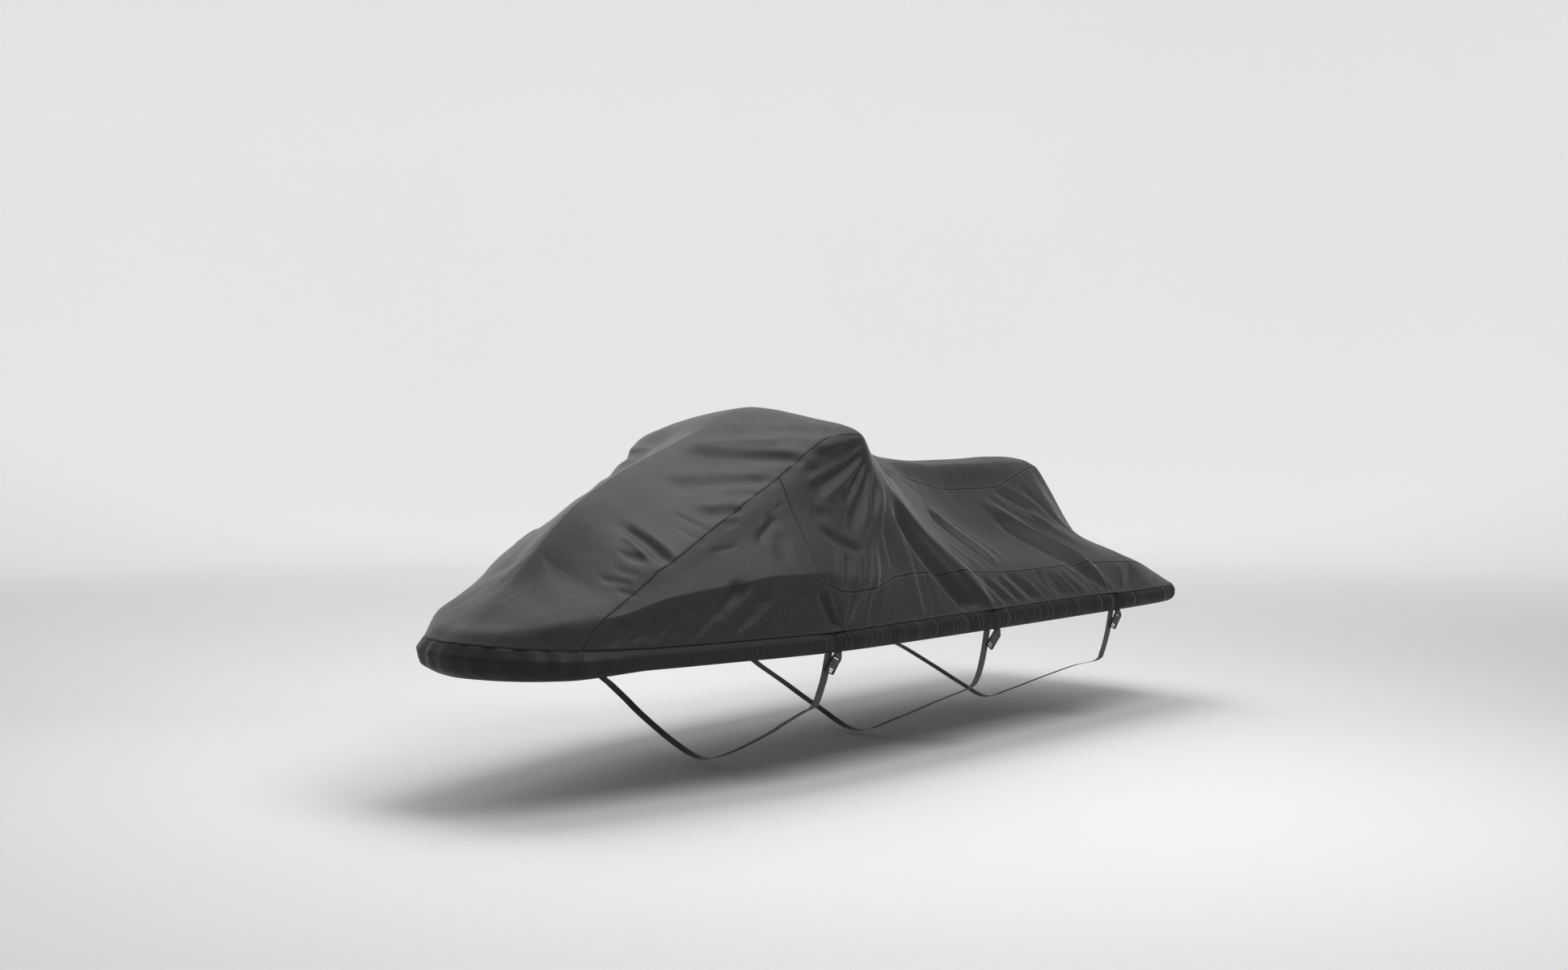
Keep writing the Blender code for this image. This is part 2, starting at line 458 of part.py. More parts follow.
def build_panels(skin, collection):
    """One closed sheet for each panel: its outer face, the same face a cloth's thickness in, and a rim."""
    points, faces, panels = skin
    normals = vertex_normals(points, faces)
    users = {}
    for face, panel in zip(faces, panels):
        for k, vertex in enumerate(face):
            edge = (min(vertex, face[k - 1]), max(vertex, face[k - 1]))
            users.setdefault(edge, set()).add(panel)
    sewn = {edge for edge, owners in users.items() if len(owners) > 1}
    for name in sorted(set(panels)):
        triangles = [t for face, panel in zip(faces, panels) if panel == name for t in split(points, face)]
        shift = seam_shift(points, triangles, sewn)
        used = sorted({vertex for triangle in triangles for vertex in triangle})
        number = {vertex: k for k, vertex in enumerate(used)}
        outer = np.array([points[v] + shift.get(v, 0.0) for v in used])
        inner = outer - normals[used] * CLOTH
        count = len(used)
        local = [tuple(number[v] for v in triangle) for triangle in triangles]
        directed = {(t[k], t[(k + 1) % 3]) for t in local for k in range(3)}
        rim = [(b, a, a + count, b + count) for a, b in directed if (b, a) not in directed]
        mesh = bpy.data.meshes.new(name)
        mesh.from_pydata(np.concatenate([outer, inner]).tolist(), [],
                         local + [tuple(v + count for v in t[::-1]) for t in local]
                         + [t for q in sorted(rim) for t in ((q[0], q[1], q[2]), (q[0], q[2], q[3]))])
        mesh.shade_smooth()
        mesh.set_sharp_from_angle(angle=SHARP_ANGLE)
        add_object(name, mesh, "cloth", collection)


def hem_out(skin, side, x):
    """How far out from the centre the hem line lies at x."""
    points = skin[0]
    hem = points[(np.abs(points[:, 2] - LIFT) < WELD) & (points[:, 1] * side > FAR_OUT)]
    hem = hem[np.argsort(hem[:, 0])]
    return float(np.interp(x, hem[:, 0], np.abs(hem[:, 1])))


def smooth_route(route, steps):
    """A smooth curve through a route's own points."""
    route = np.array(route)
    inner = (route[2:] - route[:-2]) / 2
    slopes = np.concatenate([[route[1] - route[0]], inner, [route[-1] - route[-2]]])
    count = (len(route) - 1) * steps + 1
    place = np.linspace(0.0, len(route) - 1.0, count)
    return np.stack([cubic(route[:, k], slopes[:, k], place)[0] for k in range(route.shape[1])], axis=-1)


def ribbon(name, route, across, collection):
    """A length of webbing: an open strip along a route, with the way across it at every point, made solid."""
    verts, faces = [], []
    for index, (point, way) in enumerate(zip(route, across)):
        half = Vector(way).normalized() * WEBBING_WIDTH / 2
        verts += [Vector(point) - half, Vector(point) + half]
        if index:
            faces.append((2 * index - 2, 2 * index - 1, 2 * index + 1, 2 * index))
    mesh = bpy.data.meshes.new(name)
    mesh.from_pydata(verts, [], faces)
    made = add_object(name, mesh, "webbing", collection)
    thicken = made.modifiers.new("webbing", "SOLIDIFY")
    thicken.thickness = WEBBING
    thicken.offset = 0.0
    thicken.use_even_offset = True


def build_strap(row, skin, collection):
    """A strap from behind its buckle at the port hem, under the form, to the starboard hem."""
    name, strand_x, _, _, route = row
    top = LIFT - TOUCH
    port_top = (strand_x, -hem_out(skin, PORT, strand_x) + WEBBING / 2, top)
    starboard_top = (strand_x, hem_out(skin, STARBOARD, strand_x) - WEBBING / 2, top)
    port = [(strand_x, -out, height + LIFT) for out, height in route]
    starboard = [(x, -y, z) for x, y, z in port[-2::-1]]
    path = smooth_route([port_top] + port + starboard + [starboard_top], STRAP_STEPS)
    ribbon("strap_" + name, path, [ACROSS] * len(path), collection)


def plate(name, outlines, collection, place):
    """A moulded plate: closed outlines, the first around the others, filled and given its thickness."""
    curve = bpy.data.curves.new(name, "CURVE")
    curve.dimensions = "2D"
    curve.fill_mode = "BOTH"
    curve.extrude = BUCKLE_THICKNESS / 2
    for outline in outlines:
        spline = curve.splines.new("POLY")
        spline.points.add(len(outline) - 1)
        for point, (across, down) in zip(spline.points, outline):
            point.co = (across, -down, 0.0, 1.0)
        spline.use_cyclic_u = True
    drawn = bpy.data.objects.new(name, curve)
    collection.objects.link(drawn)
    bpy.context.view_layer.update()
    mesh = bpy.data.meshes.new_from_object(drawn.evaluated_get(bpy.context.evaluated_depsgraph_get()))
    bpy.data.objects.remove(drawn)
    work = bmesh.new()
    work.from_mesh(mesh)
    bmesh.ops.remove_doubles(work, verts=work.verts, dist=WELD * 10)
    bmesh.ops.recalc_face_normals(work, faces=work.faces)
    work.transform(place)
    work.to_mesh(mesh)
    work.free()
    return add_object(name, mesh, "buckle", collection)


def box_outline(left, right, top, bottom):
    """A rectangle."""
    return [(left, top), (right, top), (right, bottom), (left, bottom)]


def build_buckle(row, skin, collection):
    """The buckle below the port hem, its two halves closed, and the tab of webbing that it hangs from."""
    name, strand_x, top_x, foot_x, _ = row
    strand_out = hem_out(skin, PORT, strand_x) - WEBBING / 2
    stand_off = BUCKLE_THICKNESS / 2 + 2 * WEBBING + 2 * TOUCH
    top = Vector((top_x, -strand_out - stand_off, LIFT - TAB_DROP))
    first_out, first_height = row[4][0]
    near_foot = (TAB_DROP + BUCKLE_LENGTH) / -first_height
    foot_out = strand_out + (first_out - strand_out) * near_foot + BUCKLE_THICKNESS / 2 + WEBBING + 4 * TOUCH
    foot_drop = math.sqrt(BUCKLE_LENGTH ** 2 - (foot_x - top_x) ** 2 - (strand_out + stand_off - foot_out) ** 2)
    foot = Vector((foot_x, -foot_out, top.z - foot_drop))
    down = (foot - top).normalized()
    across = Vector((1.0, 0.0, 0.0)) - down * down.x
    across.normalize()
    outward = across.cross(-down)
    place = Matrix.Translation(top) @ Matrix((across, -down, outward)).transposed().to_4x4()
    half, slot = BUCKLE_WIDTH / 2, WEBBING_WIDTH / 2 + 2 * TOUCH
    neck = half - LATCH_WIDTH - TOUCH
    shoulder = SOCKET_LENGTH / 2
    cut, bar, length = CHAMFER, BUCKLE_BAR, BUCKLE_LENGTH
    socket = [(-half + cut, 0.0), (half - cut, 0.0), (half, cut), (half, shoulder), (neck, shoulder),
              (neck, SOCKET_LENGTH), (-neck, SOCKET_LENGTH), (-neck, shoulder), (-half, shoulder), (-half, cut)]
    plate(f"buckle_{name}_socket", [socket, box_outline(-slot, slot, bar, bar + BUCKLE_SLOT)], collection, place)
    crotch = SOCKET_LENGTH + TOUCH
    reach = shoulder + TOUCH
    prongs = [(-half, reach), (-neck - TOUCH, reach), (-neck - TOUCH, crotch), (neck + TOUCH, crotch),
              (neck + TOUCH, reach), (half, reach), (half, length - cut), (half - cut, length),
              (-half + cut, length), (-half, length - cut)]
    slots = [box_outline(-slot, slot, end - BUCKLE_SLOT, end)
             for end in (length - bar, length - bar - BUCKLE_SLOT - CENTRE_BAR)]
    plate(f"buckle_{name}_prongs", [prongs] + slots, collection, place)
    build_tab(name, place, skin, collection)


def build_tab(name, place, skin, collection):
    """The tab's webbing: from under the hem, down outside the buckle's top bar, through its slot and up."""
    clear = BUCKLE_THICKNESS / 2 + TOUCH + WEBBING / 2
    turn = BUCKLE_BAR + TOUCH + WEBBING / 2
    loop = [(clear, -TAB_RISE), (clear, turn), (-clear, turn), (-clear, -TAB_RISE)]
    loop = [place @ Vector((0.0, -down, out)) for out, down in loop]
    hem_x = (place @ Vector((0.0, TAB_DROP, 0.0))).x
    rim = hem_out(skin, PORT, hem_x) - CLOTH / 2
    half = WEBBING / 2 + TOUCH / 2
    ends = [[Vector((hem_x, -rim - side * half, LIFT - drop)) for drop in (TOUCH, TAB_SEWN)] for side in (1, -1)]
    across = place.to_3x3() @ Vector(ACROSS)
    ribbon("tab_" + name, ends[0] + loop + ends[1][::-1], [ACROSS] * 2 + [across] * 4 + [ACROSS] * 2, collection)


def main():
    """Builds the cloth panels, and each strap with its buckle and tab."""
    for old in list(bpy.data.objects):
        bpy.data.objects.remove(old)
    collection = bpy.data.collections.new("fitted_cover")
    bpy.context.scene.collection.children.link(collection)
    skin = build_skin()
    build_panels(skin, collection)
    for row in STRAPS:
        build_strap(row, skin, collection)
        build_buckle(row, skin, collection)


main()
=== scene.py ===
"""Fitted watercraft cover: cloth panels, hem bands, tie-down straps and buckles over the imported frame.

+X runs from the bow to the stern, port is -Y and +Z is up. Heights in the tables are measured up from the
hem line and LIFT lowers them into the frame, whose origin is the underside of the cloth at the crown.
"""

import math

import bmesh
import bpy
import numpy as np
from bpy.props import FloatProperty, FloatVectorProperty, IntProperty, PointerProperty
from mathutils import Matrix, Vector


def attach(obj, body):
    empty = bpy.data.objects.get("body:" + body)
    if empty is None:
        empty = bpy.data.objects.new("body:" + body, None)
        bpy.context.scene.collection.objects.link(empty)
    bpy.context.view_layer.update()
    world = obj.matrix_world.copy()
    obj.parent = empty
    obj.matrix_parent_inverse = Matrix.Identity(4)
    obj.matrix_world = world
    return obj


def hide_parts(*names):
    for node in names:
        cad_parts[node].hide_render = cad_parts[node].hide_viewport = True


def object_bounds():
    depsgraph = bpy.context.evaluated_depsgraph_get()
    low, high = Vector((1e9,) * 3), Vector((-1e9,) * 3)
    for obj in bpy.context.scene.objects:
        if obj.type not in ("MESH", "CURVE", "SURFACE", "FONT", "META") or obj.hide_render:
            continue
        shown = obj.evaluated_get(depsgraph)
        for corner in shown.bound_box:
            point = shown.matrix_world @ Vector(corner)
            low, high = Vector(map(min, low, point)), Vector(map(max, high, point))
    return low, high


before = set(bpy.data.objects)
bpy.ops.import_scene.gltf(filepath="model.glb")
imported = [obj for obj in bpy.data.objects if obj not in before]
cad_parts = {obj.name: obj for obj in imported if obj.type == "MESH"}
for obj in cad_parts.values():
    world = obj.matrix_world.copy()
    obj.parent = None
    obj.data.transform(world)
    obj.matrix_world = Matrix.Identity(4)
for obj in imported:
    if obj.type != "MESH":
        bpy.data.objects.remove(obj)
CAD_BOX = [list(corner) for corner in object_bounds()]

bl_info = {
    "name": "Fitted Watercraft Cover",
    "version": (1, 0, 0),
    "blender": (4, 5, 0),
    "location": "View3D > Sidebar > Cover",
    "description": "Builds a fitted cover with gathered hem bands, tie-down straps and side-release buckles",
    "category": "Add Mesh",
}

TURN = 2.0 * math.pi
PORT, STARBOARD = -1, 1
SIDE_NAMES = {PORT: "port", STARBOARD: "starboard"}
CLOTH = 0.002              # thickness of the solids' cloth, whose outer face the sheets follow
CROWN_HEIGHT = 0.800       # crown of the bar dome above the hem line
LIFT = CLOTH - CROWN_HEIGHT
INSIDE = (0.3, 0.0, LIFT + 0.15)  # a place inside the cover, which outward faces look away from
WELD = 2e-5                # points of a sheet this near to each other are one
PLATE_WELD = 1e-5          # and of a moulded plate
DEGENERATE = 1e-6          # edges shorter than this go
SLACK = 1e-9               # slack in comparing places
TINY = 1e-12               # keeps a division from being by nothing

# One row for each section, from the bow centre line round the side to the stern centre line. Each section
# is a spoke from the ridge out to the seam of the hem band (the rail). crown, hood, waist and knuckle are
# points of its curve: how far out along the spoke (0 ridge, 1 rail), and how high. steps is the number of
# columns of faces of the solids up to the next row.
SECTION_COLUMNS = ("ridge_x", "ridge_z", "rail_x", "rail_y", "rail_z", "crown_out", "crown_z", "hood_out",
                   "hood_z", "waist_out", "waist_z", "knuckle_out", "knuckle_z", "steps")
SECTIONS = (
    (-0.92, 0.354, -1.260, 0.000, 0.090, 0.30, 0.258, 0.60, 0.188, 0.78, 0.146, 0.91, 0.121, 2),
    (-0.92, 0.354, -1.235, 0.125, 0.088, 0.30, 0.258, 0.60, 0.188, 0.78, 0.149, 0.91, 0.124, 2),
    (-0.92, 0.354, -1.180, 0.235, 0.083, 0.30, 0.264, 0.60, 0.196, 0.80, 0.158, 0.92, 0.130, 2),
    (-0.92, 0.354, -1.080, 0.325, 0.076, 0.30, 0.278, 0.64, 0.212, 0.82, 0.180, 0.94, 0.152, 4),
    (-0.92, 0.354, -0.920, 0.400, 0.070, 0.30, 0.300, 0.70, 0.238, 0.86, 0.206, 0.955, 0.172, 3),
    (-0.76, 0.482, -0.760, 0.447, 0.067, 0.38, 0.400, 0.84, 0.297, 0.90, 0.258, 0.970, 0.216, 4),
    (-0.53, 0.597, -0.530, 0.503, 0.066, 0.38, 0.500, 0.745, 0.402, 0.84, 0.328, 0.965, 0.243, 3),
    (-0.36, 0.657, -0.360, 0.545, 0.066, 0.37, 0.572, 0.685, 0.487, 0.80, 0.388, 0.965, 0.262, 3),
    (-0.19, 0.720, -0.190, 0.578, 0.066, 0.35, 0.645, 0.640, 0.566, 0.77, 0.434, 0.960, 0.262, 3),
    (-0.06, 0.775, -0.060, 0.592, 0.067, 0.34, 0.718, 0.640, 0.645, 0.765, 0.456, 0.950, 0.240, 3),
    (0.08, 0.800, 0.080, 0.600, 0.069, 0.35, 0.765, 0.658, 0.705, 0.755, 0.480, 0.935, 0.228, 3),
    (0.19, 0.788, 0.190, 0.604, 0.070, 0.35, 0.758, 0.672, 0.705, 0.752, 0.500, 0.915, 0.228, 3),
    (0.30, 0.760, 0.300, 0.606, 0.071, 0.33, 0.732, 0.595, 0.645, 0.765, 0.450, 0.905, 0.225, 3),
    (0.45, 0.700, 0.450, 0.608, 0.072, 0.25, 0.675, 0.420, 0.612, 0.69, 0.430, 0.90, 0.220, 3),
    (0.60, 0.648, 0.600, 0.610, 0.072, 0.20, 0.628, 0.320, 0.575, 0.60, 0.395, 0.89, 0.210, 4),
    (0.80, 0.606, 0.800, 0.611, 0.072, 0.17, 0.592, 0.285, 0.520, 0.53, 0.360, 0.88, 0.197, 5),
    (1.05, 0.588, 1.050, 0.611, 0.073, 0.17, 0.576, 0.282, 0.478, 0.52, 0.330, 0.88, 0.188, 5),
    (1.30, 0.588, 1.300, 0.610, 0.073, 0.17, 0.576, 0.282, 0.478, 0.52, 0.325, 0.87, 0.188, 4),
    (1.50, 0.594, 1.500, 0.609, 0.070, 0.15, 0.578, 0.245, 0.517, 0.50, 0.335, 0.86, 0.185, 2),
    (1.62, 0.592, 1.620, 0.607, 0.066, 0.13, 0.578, 0.210, 0.543, 0.48, 0.340, 0.86, 0.180, 2),
    (1.62, 0.592, 1.865, 0.598, 0.064, 0.12, 0.579, 0.200, 0.550, 0.46, 0.290, 0.86, 0.168, 2),
    (1.62, 0.592, 2.040, 0.570, 0.063, 0.12, 0.580, 0.200, 0.552, 0.48, 0.240, 0.86, 0.132, 2),
    (1.62, 0.592, 2.117, 0.485, 0.064, 0.12, 0.581, 0.200, 0.554, 0.51, 0.230, 0.86, 0.112, 2),
    (1.62, 0.592, 2.146, 0.300, 0.067, 0.13, 0.581, 0.220, 0.555, 0.55, 0.270, 0.84, 0.130, 2),
    (1.62, 0.592, 2.154, 0.120, 0.070, 0.15, 0.579, 0.240, 0.553, 0.56, 0.330, 0.82, 0.155, 2),
    (1.62, 0.592, 2.156, 0.000, 0.070, 0.15, 0.578, 0.250, 0.552, 0.56, 0.340, 0.82, 0.158, 1),
)
STRAIGHT_ROWS = (4, 19)    # between these rows the sections stand square to the ridge
FAN_MIDDLE = 10.0          # rows before this one fan out at the bow, later ones at the stern
BOW_RIDGE_SLOPE = 0.77     # of the ridge where the bow sections fan out
STERN_RIDGE_SLOPE = -0.06  # of the ridge where the stern sections fan out
# Place along the rows, and the share of the first chord's fall at which a section leaves the ridge: above 0
# the ridge is a crest, at 0 it is round.
CREST = ((0.0, 0.0), (3.0, 0.2), (5.0, 0.45), (8.0, 0.45), (11.0, 0.1), (13.0, 0.0), (25.0, 0.0))
# Place along the rows, and how sharply the cloth turns at the knuckle: 0 round, 1 a fold between two flats.
KNUCKLE_EDGE = ((0.0, 0.0), (2.5, 0.2), (4.0, 0.9), (8.0, 0.9), (10.0, 0.5), (12.0, 0.2), (20.0, 0.2),
                (21.0, 0.0))
KNUCKLE = 4                # number of the knuckle among the points of the curve
CURVE_POINTS = 6           # ridge, crown, hood, waist, knuckle and rail
HOOD_FOLLOWS = 0.6         # share of the ridge's fall that the starboard hood follows

# The seams that part the panels: place along the table's rows, and place down the section's curve
# (0 ridge, 1 crown, 2 hood, 3 waist, 4 knuckle, 5 rail).
HOOD_SEAM = ((0.0, 5.0), (3.25, 5.0), (3.5, 4.36), (4.0, 3.48), (4.5, 2.83), (5.0, 2.06), (6.0, 2.0),
             (25.0, 2.0))
SIDE_SEAM = ((0.0, 4.0), (7.67, 4.0), (8.0, 4.16), (8.67, 4.28), (9.0, 4.28), (10.0, 4.2), (11.0, 4.04),
             (12.0, 4.0), (25.0, 4.0))
GUSSET_START = 8.0         # row of the table where the upper side panel starts
BAND_JOIN = 3.25           # row of the table where the bow band is joined to the elastic band
CURVE_SAMPLES = 24         # points between two named points, to measure along a section
RAIL_SAMPLES = 400         # places along the rail, to find where it reaches an x
STRAP_ROWS = (4.0, 21.0)   # rows of the table between which the straps hang

# The bars under the dome are turned, so the starboard side's bulge lies further forward.
BAR_TURN = 0.17
BAR_TURN_CENTRE = 0.06
BAR_TURN_REACH = 0.90

# The hem band below the rail: share of its depth, and how far it stands out from the rail.
ELASTIC_BAND = ((0.00, 0.000), (0.30, 0.010), (0.68, 0.009), (1.00, -0.008))
BOW_BAND = ((0.00, 0.000), (0.35, 0.023), (0.75, 0.016), (1.00, -0.022))
BOW_HEM_DROP = 0.018       # the bow hem hangs this far below the hem line
BOW_BAND_ENDS = (3.0, 4.6)  # rows of the table between which the bow's form fades into the elastic's
PINCH = 0.009              # the cloth is drawn in where a strap pulls
PINCH_REACH = 0.05
PINCH_NICK = 0.012         # and nicked by this much right at the strap
NICK_REACH = 0.011
GATHER_PITCH = 0.023       # from one gather of the elastic band to the next
# Each band: node, width and length that it is cut to, flat area, and how it is held.
BAND_CUTS = (
    ("bow_band", (0.120, 1.10), 0.115, "stretched"),
    ("elastic_band", (0.100, 6.90), 0.62, "gathered"),
)
GATHER_LEAN = 0.012        # a gather's foot lies this far behind its top
GATHER_BOW = 0.017         # and its middle bends forward by this
GATHER_MEAN = 0.7          # height in a gather, 0 to 1, that lies on the band's own form
GATHER_ROUNDNESS = 0.75    # 1 a round lobe, less a fuller one with a sharper trough
GATHER_UNEVEN = 0.32       # share by which the gathers' strength varies
# Slow waves along the hem: share of a pitch, radians to the metre, and shift between the sides.
GATHER_WANDER = ((0.55, 27.0, 1.0), (0.30, 71.0, 2.0))
GATHER_BEAT = ((13.7, 1.3), (43.0, -1.0))
GATHER_SWELL = (0.9, 0.12, 0.7)  # how the gathers swell down the band: stretch, start and fullness
GATHER_AFT = ((-0.30, 0.22), (-0.10, 1.00))  # x, and the share of the gathers' depth
GATHER_PULLED = 0.5        # so much deeper right at a strap
CENTRE_CALM = 9.0          # gathers die out towards the centre line, over a metre divided by this
BOW_RIPPLE = (0.0035, 74.0, 0.8, 17.0)  # height, radians to the metre, and how its places wander
FOOT_ROLL = (0.0030, 0.72)  # the turned hem stands out by this, below this share of the band
PUCKER_HEIGHT = 0.0035     # of the small folds that rise from the band's seam
PUCKER_MEAN = 0.6          # height in a pucker, 0 to 1, that lies on the skin
PUCKER_LEAN = 0.35         # a pucker leans by this for each metre that it rises
PUCKER_REACH = (0.020, 0.035)  # how far they rise, and how much further where they are strong
PUCKER_START = -0.15       # forward of this x only a share of their height is left
PUCKER_FORWARD = 0.25
SEAM_GROOVE = (0.0010, 0.0035)  # depth and reach of the groove at a sewn edge
SEAM_ALLOWANCE = (0.0004, 0.0055, 0.0045)  # height, place and half width of the folded cloth beside it

# Folds of the cloth on each side, in millimetres as seen from that side: from_x, from_z, to_x, to_z (z above
# the hem line), bend (off the straight line), height (below 0 a trough), from_width, to_width (half widths).
MAIN_FOLDS = {
    PORT: (
        (300, 550, 740, 30, 28, 13, 35, 45), (300, 500, 660, 30, -35, -15, 40, 65),
        (290, 560, 20, 120, 0, 11, 35, 35), (160, 580, 20, 350, 0, -10, 35, 45),
        (290, 400, 280, 60, 10, 6, 30, 40), (225, 390, 210, 230, 0, -7, 30, 30),
        (-70, 535, 210, 655, 0, -8, 30, 30), (-120, 405, 80, 310, -10, -8, 30, 30),
        (-200, 210, -130, 50, 0, -9, 35, 30), (740, 440, 880, 200, 30, 9, 40, 50),
        (1160, 450, 1550, 50, 30, 12, 40, 35), (1150, 390, 1450, 90, 5, -12, 50, 45),
        (1240, 450, 1590, 230, 30, 8, 35, 45), (1300, 465, 1460, 365, 0, -7, 30, 35),
        (860, 200, 1010, 70, 0, -5, 30, 35), (1050, 185, 1180, 70, 0, -6, 30, 35),
        (1230, 180, 1350, 70, 0, 5, 30, 35), (1570, 50, 1800, 150, 0, -6, 30, 40),
        (-965, 60, -905, 160, 0, -6, 30, 30), (-855, 80, -735, 185, 0, -9, 30, 35),
        (-735, 70, -455, 255, 10, -10, 35, 40), (-555, 90, -400, 220, 0, -8, 30, 40),
        (-385, 360, -250, 450, 0, -4, 30, 35), (-710, 450, -725, 300, 10, -6, 30, 35),
        (-500, 532, -190, 562, 0, -5, 35, 30), (-340, 658, -50, 630, -10, -6, 40, 30),
    ),
    STARBOARD: (
        (100, 590, 680, 40, 10, 12, 35, 45), (70, 530, 540, 50, -30, -13, 40, 60),
        (-20, 600, -150, 90, 15, 10, 35, 35), (-110, 550, -230, 310, 0, -9, 35, 45),
        (220, 420, 250, 90, 0, 5, 30, 40), (1090, 460, 1540, 50, 20, 11, 40, 35),
        (1020, 400, 1370, 80, -10, -11, 50, 45), (1320, 470, 1680, 230, 20, 8, 35, 45),
        (790, 195, 930, 70, 0, -6, 30, 35), (1130, 185, 1240, 70, 0, -5, 30, 35),
        (-820, 80, -600, 210, 10, -9, 30, 40), (-640, 80, -370, 250, 0, -8, 35, 40),
        (-420, 100, -290, 220, 0, -7, 30, 35), (-600, 480, -660, 330, 0, -6, 30, 40),
        (-420, 600, -190, 580, 0, -5, 35, 30),
    ),
}

